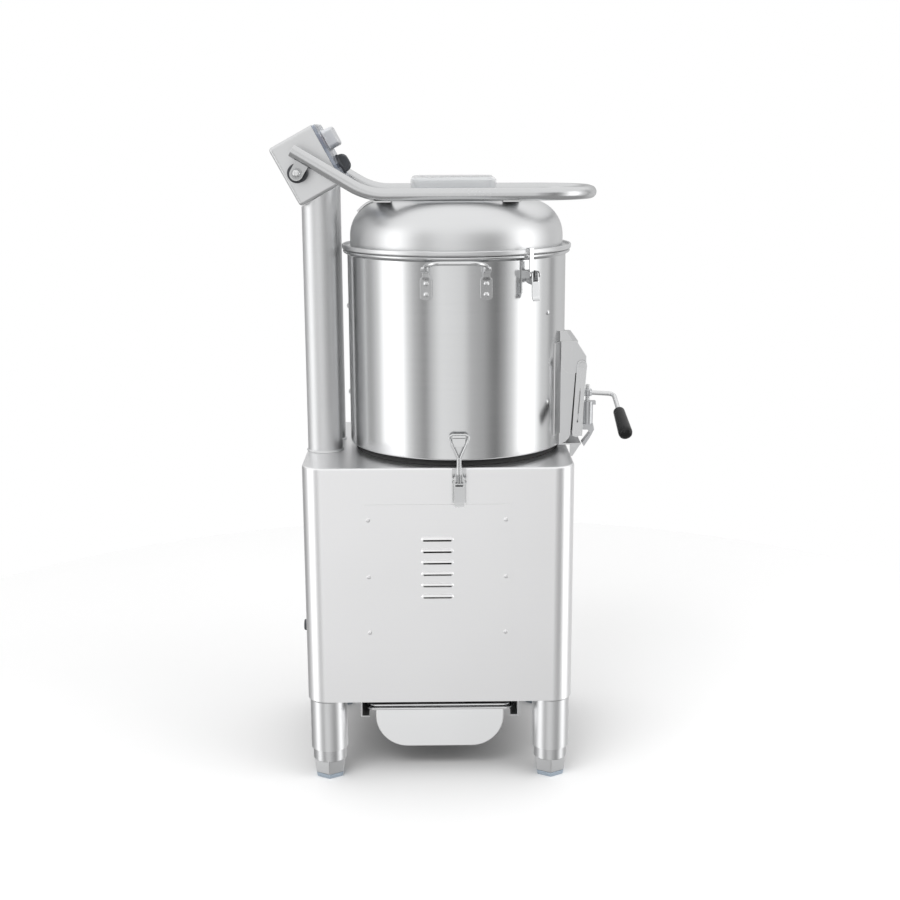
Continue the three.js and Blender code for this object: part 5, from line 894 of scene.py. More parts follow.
    def sliced(self, place: Sequence[float], normal: Sequence[float]) -> "Shaper":
        """Cuts off what lies past a plane.

        Args:
            place: A place on the plane.
            normal: The direction of the part that goes.

        Returns:
            The shaper.
        """
        bpy.ops.mesh.select_all(action="SELECT")
        bpy.ops.mesh.bisect(plane_co=place, plane_no=normal, clear_outer=True)
        return self

    def done(self) -> bpy.types.Object:
        """Turns every face out, ends editing and gives the mesh object."""
        bpy.ops.mesh.select_mode(type="VERT")
        bpy.ops.mesh.select_all(action="SELECT")
        bpy.ops.mesh.normals_make_consistent(inside=False)
        bpy.ops.object.mode_set(mode="OBJECT")
        return self.piece


def spot(x: float, y: float, z: float) -> Vector:
    """Gives a place in metres from millimetres measured from the drum's axis on the floor."""
    return Vector((x * MM + AXIS_X, y * MM, z * MM))


Profile = list[tuple[float, float]]


def arc(centre: tuple[float, float], radius: float, start: float, end: float, steps: int) -> Profile:
    """Gives the points of an arc in a profile.

    Args:
        centre: The arc's middle, as radius and height.
        radius: The arc's own radius.
        start: Its first angle in degrees, from straight outwards.
        end: Its last angle in degrees.
        steps: The steps between them.

    Returns:
        The points.
    """
    turns = [math.radians(start + (end - start) * i / steps) for i in range(steps + 1)]
    return [(centre[0] + radius * math.cos(turn), centre[1] + radius * math.sin(turn)) for turn in turns]


def in_metres(profile: Sequence[tuple[float, float]]) -> Profile:
    """Gives a profile in metres from one in millimetres."""
    return [(radius * MM, rise * MM) for radius, rise in profile]


def turn_about_axis(degrees: float) -> Matrix:
    """Gives the turn about the drum's upright axis."""
    axis = Matrix.Translation((AXIS_X, 0, 0))
    return axis @ Matrix.Rotation(math.radians(degrees), 4, "Z") @ axis.inverted()


def at_foot_of(node: str) -> Matrix:
    """Gives the move from the origin to the floor under a node's middle."""
    low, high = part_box(node)
    return Matrix.Translation(((low.x + high.x) / 2, (low.y + high.y) / 2, 0))


def mirrored_x(places: Iterable[Vector]) -> list[Vector]:
    """Gives places mirrored from one side of the drum's axis to the other."""
    return [Vector((2 * AXIS_X - place.x, place.y, place.z)) for place in places]


MIRROR_Y = Matrix.Diagonal((1, -1, 1, 1))
UP = (0, 0, 1)
ORIGIN = (0, 0, 0)


@dataclass
class Studio:
    """The pale floor, the plain light and the camera."""

    floor_radius: float = 1.25
    floor_glow: float = 0.04
    paper: tuple[Colour, Colour] = ((0.93, 0.93, 0.93), (0.95, 0.95, 0.95))
    brightest: float = 2.3
    overhead_shade: float = 0.46
    ground_shade: float = 0.17
    overhead_band: tuple[float, float] = (0.22, 0.62)
    ground_band: tuple[float, float] = (-0.62, -0.34)
    sky_band: tuple[float, float] = (0.08, 0.7)
    sky_light: tuple[float, float] = (0.02, 1.0)
    lamps_aim: tuple[float, float, float] = (0, 0, 0.45)
    lamps: tuple[tuple[str, tuple[float, float, float], float, float], ...] = (
        ("key", (-0.9, -1.6, 2.6), 1.6, 26.0),
        ("fill", (1.6, -0.8, 2.2), 1.6, 14.0),
    )
    ring_levels: tuple[tuple[float, float], ...] = (
        (-180, 0.55), (-150, 0.56), (-136, 0.19), (-124, 0.34), (-113, 0.56), (-104, 0.48),
        (-93, 0.80), (-82, 1.65), (-70, 2.2), (-61, 1.75), (-52, 0.92), (-44, 0.60), (-34, 0.36),
        (-27, 0.74), (-18, 1.05), (-8, 1.0), (6, 0.93), (14, 0.60), (26, 0.52), (36, 0.30),
        (41, 0.22), (48, 0.44), (58, 0.86), (65, 1.35), (72, 2.1), (84, 2.1), (92, 1.35),
        (100, 0.82), (108, 0.80), (117, 0.44), (130, 0.76), (180, 0.55),
    )
    camera_place: tuple[float, float, float] = (-28.16 * MM, -2026.4 * MM, 909.7 * MM)
    camera_yaw: float = 0.011
    camera_pitch: float = 0.232
    camera_roll: float = -0.0048
    sensor: float = 36.0
    focal_share: float = 1397.6 / 900.0
    axis_drop_share: float = 15.0 / 900.0

    def build(self) -> None:
        """Makes the stage."""
        bpy.context.scene.view_settings.view_transform = "Standard"
        self._camera()
        self._floor()
        self._world()
        self._lamps()

    def _camera(self) -> None:
        """Puts the camera where the photograph was taken from."""
        data = bpy.data.cameras.new("camera")
        data.sensor_width = self.sensor
        data.lens = data.sensor_width * self.focal_share
        data.shift_y = self.axis_drop_share
        camera = bpy.data.objects.new("camera", data)
        bpy.context.scene.collection.objects.link(camera)
        turn = (
            Matrix.Rotation(-self.camera_yaw, 4, "Z")
            @ Matrix.Rotation(math.pi / 2 - self.camera_pitch, 4, "X")
            @ Matrix.Rotation(self.camera_roll, 4, "Z")
        )
        camera.matrix_world = Matrix.Translation(self.camera_place) @ turn
        bpy.context.scene.camera = camera

    def _floor(self) -> None:
        """Makes the floor: a round pale sheet that keeps the object's shadow."""
        bpy.ops.mesh.primitive_circle_add(vertices=96, radius=self.floor_radius, fill_type="NGON")
        floor = bpy.context.object
        floor.name = "floor"
        material = bpy.data.materials.new("floor_white")
        material.use_nodes = True
        nodes = NodeTree(material.node_tree)
        shader = material.node_tree.nodes["Principled BSDF"]
        shader.inputs["Roughness"].default_value = 0.9
        shader.inputs["Specular IOR Level"].default_value = 0.0
        place = nodes.add("TexCoord").outputs["Object"]
        cloud = nodes.add("TexNoise", Vector=place, Scale=3.0, Detail=3.0).outputs["Fac"]
        nodes.feed(shader.inputs["Base Color"], nodes.blend(cloud, *self.paper))
        path = nodes.add("LightPath")
        seen = nodes.maths("MAXIMUM", path.outputs["Is Camera Ray"], path.outputs["Is Glossy Ray"])
        seen = nodes.maths("MAXIMUM", seen, path.outputs["Is Transmission Ray"])
        glow = nodes.add("Emission", Color=(1.0, 1.0, 1.0, 1.0))
        nodes.feed(glow.inputs["Strength"], nodes.maths("MULTIPLY", seen, self.floor_glow))
        both = nodes.add("AddShader")
        nodes.feed(both.inputs[0], shader.outputs[0])
        nodes.feed(both.inputs[1], glow.outputs[0])
        output = material.node_tree.nodes["Material Output"]
        nodes.feed(output.inputs["Surface"], both.outputs[0])
        floor.data.materials.append(material)
        floor.visible_glossy = False

    def _world(self) -> None:
        """Makes the surroundings: even light, white behind the object, and a ring that steel mirrors."""
        world = bpy.data.worlds.new("studio")
        bpy.context.scene.world = world
        world.use_nodes = True
        world.node_tree.nodes.clear()
        nodes = NodeTree(world.node_tree)
        direction = nodes.add("SeparateXYZ", Vector=nodes.add("TexCoord").outputs["Generated"])
        across, away, up = direction.outputs
        angle = nodes.maths("ARCTAN2", across, nodes.maths("MULTIPLY", away, -1.0))
        share = nodes.maths("ADD", nodes.maths("DIVIDE", angle, 2 * math.pi), 0.5)
        ring = nodes.add("ValToRGB", Fac=share)
        ring.color_ramp.interpolation = "EASE"
        self._stops(ring.color_ramp)
        overhead = self._band(nodes, up, self.overhead_band)
        above = nodes.blend(overhead, ring.outputs[0], (self.overhead_shade,) * 3)
        level = self._band(nodes, up, self.ground_band)
        mirrored = nodes.blend(level, (self.ground_shade,) * 3, above)
        path = nodes.add("LightPath")
        mirror_light = nodes.add("Background", Color=mirrored, Strength=self.brightest)
        even_light = nodes.add("Background", Color=(1.0, 1.0, 1.0, 1.0))
        nodes.feed(even_light.inputs["Strength"], self._band(nodes, up, self.sky_band, self.sky_light))
        white = nodes.add("Background", Color=(1.0, 1.0, 1.0, 1.0), Strength=1.0)
        first = nodes.add("MixShader")
        straight = nodes.maths("LESS_THAN", path.outputs["Diffuse Depth"], 0.5)
        nodes.feed(first.inputs[0], nodes.maths("MULTIPLY", path.outputs["Is Glossy Ray"], straight))
        nodes.feed(first.inputs[1], even_light.outputs[0])
        nodes.feed(first.inputs[2], mirror_light.outputs[0])
        second = nodes.add("MixShader")
        seen = nodes.maths("MAXIMUM", path.outputs["Is Camera Ray"], path.outputs["Is Transmission Ray"])
        nodes.feed(second.inputs[0], seen)
        nodes.feed(second.inputs[1], first.outputs[0])
        nodes.feed(second.inputs[2], white.outputs[0])
        nodes.feed(nodes.add("OutputWorld").inputs["Surface"], second.outputs[0])

    @staticmethod
    def _band(
        nodes: NodeTree, up: bpy.types.NodeSocket, band: tuple[float, float],
        ends: tuple[float, float] = (0.0, 1.0),
    ) -> bpy.types.NodeSocket:
        """Grades smoothly over a band of heights.

        Args:
            nodes: The tree's builder.
            up: How far a direction points up, from -1 to 1.
            band: Where the grade starts and ends.
            ends: The values below and above the band.

        Returns:
            The graded value.
        """
        grade = nodes.add("MapRange", {"interpolation_type": "SMOOTHSTEP"}, Value=up)
        for label, value in zip(("From Min", "From Max", "To Min", "To Max"), band + ends):
            nodes.feed(grade.inputs[label], value)
        return grade.outputs[0]

    def _stops(self, ramp: bpy.types.ColorRamp) -> None:
        """Sets the ring of light: soft boxes at both sides, a fill ahead and dark gaps between.

        Args:
            ramp: The ramp that runs once round the object.
        """
        elements = ramp.elements
        while len(elements) < len(self.ring_levels):
            elements.new(0.5)
        for element, (angle, level) in zip(elements, self.ring_levels):
            element.position = (angle + 180) / 360
            share = level / self.brightest
            element.color = (share, share, share, 1.0)

    def _lamps(self) -> None:
        """Hangs two soft lamps that cast the shadow and light the plastics, and that no steel mirrors."""
        for name, place, size, power in self.lamps:
            data = bpy.data.lights.new(name, "AREA")
            data.size = size
            data.energy = power
            lamp = bpy.data.objects.new(name, data)
            bpy.context.scene.collection.objects.link(lamp)
            lamp.location = place
            lamp.rotation_mode = "QUATERNION"
            aim = Vector(self.lamps_aim) - Vector(place)
            lamp.rotation_quaternion = aim.to_track_quat("-Z", "Y")
            lamp.visible_glossy = False


@dataclass
class Cabinet:
    """The sheet steel cabinet with its frame, legs, feet and tray."""

    corner: float = 29 * MM
    fold: float = 3 * MM
    sheet: float = 1.5 * MM
    hatch_border: float = 14 * MM
    hatch_overrun: float = 5 * MM
    leg_radius: float = 26.5 * MM
    leg_bore: float = 25 * MM
    leg_foot: float = 45 * MM
    leg_top: float = 121.7 * MM
    weld: float = 2.2 * MM
    foot_radius: float = 24.0 * MM
    foot_insert: float = 12 * MM
    hexagon_radius: float = 24.6 * MM
    hexagon_top: float = 29 * MM
    pad_radius: float = 22.5 * MM
    pad_height: float = 7 * MM
    pad_taper: float = 1.5 * MM
    pad_flare_share: float = 1.07
    pad_gap: float = 0.2 * MM
    collar_lap: float = 2 * MM
    rim_height: float = 8 * MM
    rim_gap: float = 0.3 * MM
    rim_step: float = 3 * MM
    rim_corner: float = 10 * MM
    rim_fold: float = 1.7 * MM
    tub_half_x: float = 93.5 * MM
    tub_half_y: float = 120 * MM
    belly: float = 47 * MM

    def build(self) -> None:
        """Makes the cabinet's pieces."""
        self._hood()
        Bench.dressed_node("access_panel", SHEET_STEEL, 0.25 * MM)
        Bench.dressed_node("bottom_frame", FRAME_STEEL)
        self._tray()
        Bench.dressed_node("cable_gland", BLACK_PLASTIC)
        self._legs()
        self._feet()

    def _hood(self) -> None:
        """Models the folded hood, open below, with the hatch behind the access panel."""
        low, high = (Vector(corner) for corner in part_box("cabinet_shell"))
        shaper = Shaper("cabinet_hood").block(low, high)
        shaper.edges(lambda a, b: abs(a.z - b.z) > MM).bevel(self.corner, 16)
        shaper.edges(lambda a, b: min(a.z, b.z) > high.z - SLACK).bevel(self.fold, 4)
        shaper.faces(lambda centre, normal: normal.z < -SQUARE).drop()
        hood = shaper.done()
        Bench.modify(hood, "SOLIDIFY", thickness=self.sheet, offset=-1.0)
        panel_low, panel_high = (Vector(corner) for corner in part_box("access_panel"))
        border = Vector((self.hatch_border, -self.hatch_overrun, self.hatch_border))
        hatch = Shaper("hatch").block(panel_low + border, panel_high - border).done()
        Bench.for_node(Bench.cut(hood, hatch), SHEET_STEEL, "cabinet_shell", FOLDED)

    def _tray(self) -> None:
        """Models the tray: a trough with a round belly and flat ends under a rim with a rolled edge."""
        low, high = (Vector(corner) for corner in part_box("waste_tray"))
        middle = (low + high) / 2
        top = high.z - self.rim_height
        shaper = Shaper("tray_tub").block(
            (middle.x - self.tub_half_x, middle.y - self.tub_half_y, low.z),
            (middle.x + self.tub_half_x, middle.y + self.tub_half_y, top))
        shaper.edges(lambda a, b: max(a.z, b.z) < low.z + MM and abs(a.y - b.y) > MM).bevel(self.belly, 16)
        shaper.edges(lambda a, b: abs(a.y - b.y) < MM and abs(a.z - b.z) + abs(a.x - b.x) > MM
                     and min(a.z, b.z) < top - MM).bevel(1.5 * MM, 2)
        shaper.faces(lambda centre, normal: normal.z > SQUARE and centre.z > top - MM).drop()
        tub = shaper.done()
        Bench.modify(tub, "SOLIDIFY", thickness=self.sheet, offset=-1.0)
        Bench.for_node(tub, TRAY_STEEL, "waste_tray", FOLDED)
        half = self.rim_height / 2
        reach = Vector((self.tub_half_x - self.sheet, self.tub_half_y - self.sheet, 0))
        for name, base, inset in (
            ("tray_rim_lower", top, 0.0),
            ("tray_rim_upper", top + half + self.rim_gap, self.rim_step),
        ):
            rim = Shaper(name).block(
                (low.x + inset, low.y + inset, base),
                (high.x - inset, high.y - inset, base + half - self.rim_gap))
            rim.edges(lambda a, b: abs(a.z - b.z) > MM).bevel(self.rim_corner, 6)
            rim.edges(lambda a, b: abs(a.z - b.z) < LEVEL_WITHIN).bevel(self.rim_fold, 4)
            plate = rim.done()
            centre = Vector((middle.x, middle.y, base))
            mouth = Shaper("mouth").block(
                centre - reach - Vector((0, 0, MM)), centre + reach + Vector((0, 0, 2 * half)))
            Bench.for_node(Bench.cut(plate, mouth.done()), TRAY_STEEL, "waste_tray", TURNED)

    def _feet(self) -> None:
        """Models one foot, a collar on a hexagonal base with a pad, and copies it to the corners."""
        seat, out = self.leg_foot + self.foot_insert, self.foot_radius
        bottom = self.hexagon_top - self.collar_lap
        collar_profile = [(0, bottom), (out - MM, bottom), (out, bottom + MM), (out, seat), (0, seat)]
        collar = Shaper("foot_collar").lathe(ORIGIN, collar_profile, 64).done()
        flare = self.hexagon_radius / self.pad_radius
        hexagon = self._hexagon("foot_base", self.pad_height, self.hexagon_top, self.pad_radius, flare)
        hexagon = hexagon.all_edges(0.9 * MM, 3).done()
        pad = self._hexagon(
            "foot_pad", 0.0, self.pad_height - self.pad_gap, self.pad_radius - self.pad_taper,
            self.pad_flare_share)
        pad = pad.all_edges(BLUNT_EDGE, 3).done()
        for corner in range(1, 5):
            node = f"levelling_foot_{corner}"
            for model, finish in ((collar, FOOT_STEEL), (hexagon, FOOT_STEEL), (pad, PAD_PLASTIC)):
                twin = Bench.copied(model, f"{model.name}_{corner}", at_foot_of(node))
                Bench.for_node(twin, finish, node, SHARP)
        for model in (collar, hexagon, pad):
            bpy.data.objects.remove(model)

    @staticmethod
    def _hexagon(name: str, base: float, top: float, radius: float, flare: float) -> Shaper:
        """Models a six-sided block that is wider at its top.

        Args:
            name: The piece's name.
            base: The height of its foot.
            top: The height of its top.
            radius: From the middle to a corner, at its foot.
            flare: How many times wider its top is.

        Returns:
            The shaper, still open.
        """
        block = Shaper(name).ring((0, 0, base), UP, radius, 6)
        block.drawn([Vector((0, 0, base)), Vector((0, 0, top))], ())
        bpy.ops.transform.resize(value=(flare, flare, 1.0))
        return block.capped()

    def _legs(self) -> None:
        """Models one leg with its weld and copies it to the four corners."""
        profile = [
            (self.leg_bore, self.leg_foot), (self.leg_radius, self.leg_foot),
            (self.leg_radius, self.leg_top - self.weld), (self.leg_radius + self.weld, self.leg_top),
            (self.leg_bore, self.leg_top),
        ]
        leg = Shaper("leg_tube").lathe(ORIGIN, profile, 64).done()
        for corner in range(1, 5):
            node = f"leg_{corner}"
            twin = Bench.copied(leg, f"leg_tube_{corner}", at_foot_of(node))
            Bench.for_node(twin, TUBE_STEEL, node, FOLDED)
        bpy.data.objects.remove(leg)


class Drive:
    """The motor, belt and bearing inside the cabinet."""

    @staticmethod
    def build() -> None:
        """Makes the drive's pieces."""
        for node, finish in (
            ("motor", MOTOR_PAINT), ("motor_bracket", FRAME_STEEL), ("motor_pulley", CAST_METAL),
            ("driven_pulley", CAST_METAL), ("drive_belt", BLACK_RUBBER), ("bearing_housing", CAST_METAL),
            ("disc_spindle", WIRE_STEEL), ("drain_pipe", BLACK_PLASTIC),
        ):
            Bench.dressed_node(node, finish)


@dataclass
class Drum:
    """The drum with its lining, disc, handles and latches."""

    radius: float = 156.5 * MM
    wall: float = 1.5 * MM
    bottom: float = 473.5 * MM
    top: float = 752 * MM
    bead: float = 2.5 * MM
    bead_out: float = 3.5 * MM
    bore: float = 17 * MM
    window_low: Vector = spot(110, -49, 512)
    window_high: Vector = spot(200, 49, 583)
    keeper_half: float = 9 * MM
    keeper_sheet: float = 1.4 * MM
    keeper_ledge: float = 508.6 * MM
    keeper_foot: float = 493.5 * MM
    keeper_reach: float = 12.4 * MM
    keeper_lip: float = 3 * MM
    liner_screw: tuple[float, float, float] = (3.6 * MM, 0.4 * MM, 5 * MM)
    liner_screw_rises: tuple[float, float] = (543.5, 669.5)
    liner_screw_turns: tuple[float, float, float] = (180, -37, 37)
    latch_edge: float = HAIR_EDGE

    def build(self) -> None:
        """Makes the drum's pieces."""
        self._shell()
        self._keepers()
        self._liner_screws()
        Bench.dressed_node("drum_gasket", BLACK_RUBBER)
        Bench.dressed_node("abrasive_liner", GRIT)
        Bench.dressed_node("abrasive_disc", GRIT)
        Bench.dressed_node("chute_duct", DUCT_STEEL, SOFT_EDGE, SHARP)
        for side in ("near", "far"):
            for part in ("base", "lever"):
                Bench.dressed_node(f"draw_latch_{part}_{side}", LATCH_STEEL, self.latch_edge)
        for part, finish in (("base", LATCH_STEEL), ("lever", DARK_STEEL), ("hook", LATCH_STEEL)):
            Bench.dressed_node(f"lid_latch_{part}", finish, self.latch_edge)
        Bails().build()
        Handles().build()

    def _shell(self) -> None:
        """Models the wall, floor and rolled bead in one turn, and cuts the discharge window."""
        inner = self.radius - self.wall
        bead_middle = (self.radius + self.bead_out, self.top - self.bead)
        profile = [
            (self.bore, self.bottom), (self.radius - self.bead, self.bottom),
            *arc((self.radius - self.bead, self.bottom + self.bead), self.bead, -72, 0, 4),
            (self.radius, self.top - 3 * self.bead),
            *arc(bead_middle, self.bead, -62, 90, 9),
            (inner, self.top), (inner, self.bottom + self.wall), (self.bore, self.bottom + self.wall),
        ]
        shell = Shaper("drum_wall").lathe((AXIS_X, 0, 0), profile, 160).done()
        window = Shaper("window").block(self.window_low, self.window_high).done()
        Bench.for_node(Bench.cut(shell, window), DRUM_STEEL, "drum_shell", TURNED)

    def _keepers(self) -> None:
        """Models the hooked plate that a draw latch pulls on, and mirrors it to the far side."""
        sheet, skin = self.keeper_sheet, self.radius
        left, right = AXIS_X - self.keeper_half, AXIS_X + self.keeper_half
        front, ledge = -skin - self.keeper_reach, self.keeper_ledge
        plate = Shaper("keeper_plate").block(
            (left, -skin - sheet, self.keeper_foot), (right, -skin + self.wall / 2, ledge + sheet))
        plate = plate.all_edges(FINE_EDGE).done()
        shelf = Shaper("keeper_ledge").block((left, front, ledge - sheet), (right, -skin, ledge))
        shelf.edges(lambda a, b: max(a.y, b.y) < front + SLACK)
        shelf = shelf.bevel(SOFT_EDGE, 3).done()
        hook = Shaper("keeper_lip").block(
            (left, front, ledge - sheet), (right, front + sheet, ledge + self.keeper_lip))
        hook = hook.all_edges(0.35 * MM).done()
        for piece in (plate, shelf, hook):
            twin = Bench.copied(piece, piece.name + "_far", MIRROR_Y)
            for each in (piece, twin):
                Bench.settle(each, WIRE_STEEL, DRUM_BODY, DRUM_SLOT, FOLDED, ("drum_shell",))

    def _liner_screws(self) -> None:
        """Models one domed screw head of the lining and copies it round the drum."""
        half, sunk, dome = self.liner_screw
        profile = [(0, -sunk), (half, -sunk), *arc((0, -2.6 * MM), dome, 44, 90, 6)]
        head = Shaper("liner_screw").lathe(ORIGIN, profile, 28).done()
        outwards = Matrix.Rotation(math.pi / 2, 4, "Y")
        places = product(self.liner_screw_rises, self.liner_screw_turns)
        for count, (height, degrees) in enumerate(places, 1):
            place = Matrix.Translation((AXIS_X + self.radius, 0, height * MM)) @ outwards
            twin = Bench.copied(head, f"liner_screw_{count}", turn_about_axis(degrees) @ place)
            Bench.settle(twin, SCREW_STEEL, DRUM_BODY, DRUM_SLOT, FOLDED, ("drum_shell",))
        bpy.data.objects.remove(head)


@dataclass
class Bails:
    """The bent wire loops of the two draw latches."""

    wire: float = 1.5 * MM
    halves: tuple[float, ...] = (1.7, 1.7, 11.2, 14.3, 9.0)
    rises: tuple[float, ...] = (0.0, 36.0, 57.0, 66.0, 69.0)
    bends: tuple[float, ...] = (6 * MM, 9 * MM, 3 * MM, 5 * MM, 5 * MM, 3 * MM, 9 * MM, 6 * MM)
    lean: float = 3.2
    foot_out: float = 168.2
    foot_z: float = 443.0
    bar_half: float = 7.0

    def build(self) -> None:
        """Models the near loop and its cross bar, and mirrors both to the far side."""
        side = [
            spot(half, -self.foot_out + self.lean * rise / self.rises[-1], self.foot_z + rise)
            for half, rise in zip(self.halves, self.rises)
        ]
        route = side + mirrored_x(reversed(side))
        loop = Shaper("bail_loop").ring(route[0], route[1] - route[0], self.wire, 16)
        loop.drawn(route, self.bends, 8).capped()
        pieces = [loop.done()]
        start, end = (spot(x, -self.foot_out, self.foot_z) for x in (-self.bar_half, self.bar_half))
        bar = Shaper("bail_bar").rod(start, end, self.wire, 20)
        bar.edges(lambda a, b: abs(a.x - b.x) < LEVEL_WITHIN).bevel(FINE_EDGE, 2)
        pieces.append(bar.done())
        for piece in pieces:
            twin = Bench.copied(piece, piece.name + "_far", MIRROR_Y)
            Bench.for_node(piece, WIRE_STEEL, "draw_latch_bail_near", BENT)
            Bench.for_node(twin, WIRE_STEEL, "draw_latch_bail_far", BENT)


@dataclass
class Handles:
    """The two bent rod handles with their riveted plates."""

    drum_radius: float = 156.5
    skin: float = 156.8
    spread: float = 80.0
    behind: float = 3.0
    rod: float = 2.7 * MM
    corner: float = 24 * MM
    bar_out: float = 194.5
    bar_z: float = 746.5
    eye: float = 4.6
    eye_z: float = 735.0
    plate_top: float = 725.0
    plate_length: float = 31.0
    plate_half: float = 8.3
    plate_round: float = 5 * MM
    neck_half: float = 5.0
    sheet: float = 2.0
    neck_lap: float = 5.0
    rivet: float = 3.6 * MM
    rivet_dome: float = 4.4 * MM
    rivet_drops: tuple[float, float] = (716.0, 701.5)

    def build(self) -> None:
        """Models the near handle, and mirrors it to the far side."""
        half = math.degrees(math.asin(self.spread / 2 / self.drum_radius))
        shift = math.degrees(math.asin(self.behind / self.drum_radius))
        pieces = []
        for model in (self._plate(), self._neck(), self._curl(), *self._rivets()):
            for label, degrees in (("rear", -half - shift), ("front", half - shift)):
                pieces.append(Bench.copied(model, f"{model.name}_{label}", turn_about_axis(degrees)))
            bpy.data.objects.remove(model)
        pieces.append(self._bar(half, shift))
        for piece in pieces:
            twin = Bench.copied(piece, piece.name + "_far", MIRROR_Y)
            Bench.for_node(piece, ROD_STEEL, "drum_handle_near", RIVETED)
            Bench.for_node(twin, ROD_STEEL, "drum_handle_far", RIVETED)

    def _plate(self) -> bpy.types.Object:
        """Models the riveted plate with its rounded corners."""
        shaper = Shaper("handle_plate").block(
            spot(-self.plate_half, -self.skin - self.sheet, self.plate_top - self.plate_length),
            spot(self.plate_half, -self.skin, self.plate_top))
        shaper.edges(lambda a, b: abs(a.y - b.y) > MM).bevel(self.plate_round, 6)
        front = (-self.skin - self.sheet) * MM
        return shaper.edges(lambda a, b: max(a.y, b.y) < front + 0.05 * MM).bevel(SOFT_EDGE, 2).done()

    def _neck(self) -> bpy.types.Object:
        """Models the narrow strip from the plate to the curl."""
        return Shaper("handle_neck").block(
            spot(-self.neck_half, -self.skin - self.sheet, self.plate_top - self.neck_lap),
            spot(self.neck_half, -self.skin, self.eye_z)).all_edges(FINE_EDGE).done()

    def _curl(self) -> bpy.types.Object:
        """Models the curl that holds the rod's end."""
        start = spot(-self.neck_half, -self.skin - self.eye, self.eye_z)
        end = spot(self.neck_half, -self.skin - self.eye, self.eye_z)
        shaper = Shaper("handle_curl").rod(start, end, self.eye * MM, 28)
        return shaper.edges(lambda a, b: abs(a.x - b.x) < LEVEL_WITHIN).bevel(ROUND_EDGE, 2).done()

    def _rivets(self) -> list[bpy.types.Object]:
        """Models the two domed rivet heads."""
        profile = [(0, 0), (self.rivet, 0), *arc((0, -self.rivet_dome / 2), self.rivet_dome, 34, 90, 6)]
        head = Shaper("rivet").lathe(ORIGIN, profile, 24).done()
        outwards = Matrix.Rotation(math.pi / 2, 4, "X")
        heads = []
        for count, height in enumerate(self.rivet_drops, 1):
            place = Matrix.Translation(spot(0, -self.skin - self.sheet, height))
            heads.append(Bench.copied(head, f"handle_rivet_{count}", place @ outwards))
        bpy.data.objects.remove(head)
        return heads

    def _bar(self, half: float, shift: float) -> bpy.types.Object:
        """Bends the rod from one curl up and out, across, and back into the other.

        Args:
            half: Half of the angle between the two plates, in degrees.
            shift: How far the handle sits behind the drum's axis, in degrees.

        Returns:
            The rod.
        """
        start = turn_about_axis(-half) @ spot(0, -self.skin - self.eye, self.eye_z)
        out = Vector((start.x, -self.bar_out * MM, self.bar_z * MM))
        route = [start, out] + mirrored_x((out, start))
        shaper = Shaper("handle_rod").ring(start, out - start, self.rod, 24)
        rod = shaper.drawn(route, (self.corner, self.corner), 12).capped().done()
        return Bench.moved(rod, "handle_rod_bent", turn_about_axis(-shift))


@dataclass
class Door:
    """The discharge door with its arms, gasket and clamp."""

    hub: tuple[float, float, float] = (192.67, 0.0, 539.5)
    hub_radius: float = 6.5 * MM
    hub_half: float = 5.0
    spindle_radius: float = 3.2 * MM
    rod: float = 3.3 * MM
    reach: float = 38.3
    fall: float = 2.5
    splay: float = 5.0
    dip: float = 26.0
    bend: float = 8 * MM
    grip_start: float = 42.0
    grip_tail: float = 30.0
    spindle_top: float = 12 * MM
    grip_profile: tuple[tuple[float, float], ...] = (
        (3.6, 0.2), (6.6, 0.0), (8.0, 0.8), (8.4, 2.4), (8.7, 12.0), (9.4, 30.0), (10.0, 46.0), (10.1, 51.0),
        (9.4, 54.2), (7.6, 56.2), (4.6, 57.2), (0.0, 57.5), (0.0, 36.0), (3.6, 36.0),
    )

    def build(self) -> None:
        """Makes the door's pieces."""
        Bench.dressed_node("door_pan", PLATE_STEEL)
        Bench.dressed_node("door_gasket", BLACK_RUBBER)
        for side in ("near", "far"):
            Bench.dressed_node(f"door_arm_{side}", PLATE_STEEL, FINE_EDGE)
        Bench.dressed_node("clamp_bracket", CAST_METAL, BLUNT_EDGE)
        self._lever()

    def _lever(self) -> None:
        """Bends the lever's rod, turns its hub and spindle, and turns the grip onto its end."""
        hub = spot(*self.hub)
        corner = hub + Vector((self.reach, 0, -self.fall)) * MM
        level = math.cos(math.radians(self.dip))
        splay = math.radians(self.splay)
        down = Vector((level * math.sin(splay), -level * math.cos(splay), -math.sin(math.radians(self.dip))))
        end = corner + down * (self.grip_start + self.grip_tail) * MM
        rod = Shaper("lever_rod").ring(hub, corner - hub, self.rod, 28)
        rod.drawn([hub, corner, end], (self.bend,), 12)
        Bench.for_node(rod.capped().done(), ROD_STEEL, "clamp_lever", TURNED)
        half, out = self.hub_half * MM, self.hub_radius
        barrel = [
            (0, -half), (out - MM, -half), (out, MM - half),
            (out, half - MM), (out - MM, half), (0, half),
        ]
        Bench.for_node(Shaper("lever_hub").lathe(hub, barrel, 36).done(), CAST_METAL, "clamp_lever", FOLDED)
        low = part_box("clamp_lever")[0][2] - hub.z
        radius, top, fold = self.spindle_radius, self.spindle_top, 0.8 * MM
        pin = [(0, low), (radius, low), (radius, top - fold), (radius - fold, top), (0, top)]
        Bench.for_node(Shaper("lever_spindle").lathe(hub, pin, 28).done(), ROD_STEEL, "clamp_lever", FOLDED)
        grip = Shaper("grip_body").lathe(ORIGIN, in_metres(self.grip_profile), 40).done()
        aim = down.to_track_quat("Z", "Y").to_matrix().to_4x4()
        place = Matrix.Translation(corner + down * self.grip_start * MM) @ aim
        Bench.for_node(Bench.moved(grip, "lever_grip_turned", place), GRIP_PLASTIC, "lever_grip", TURNED)


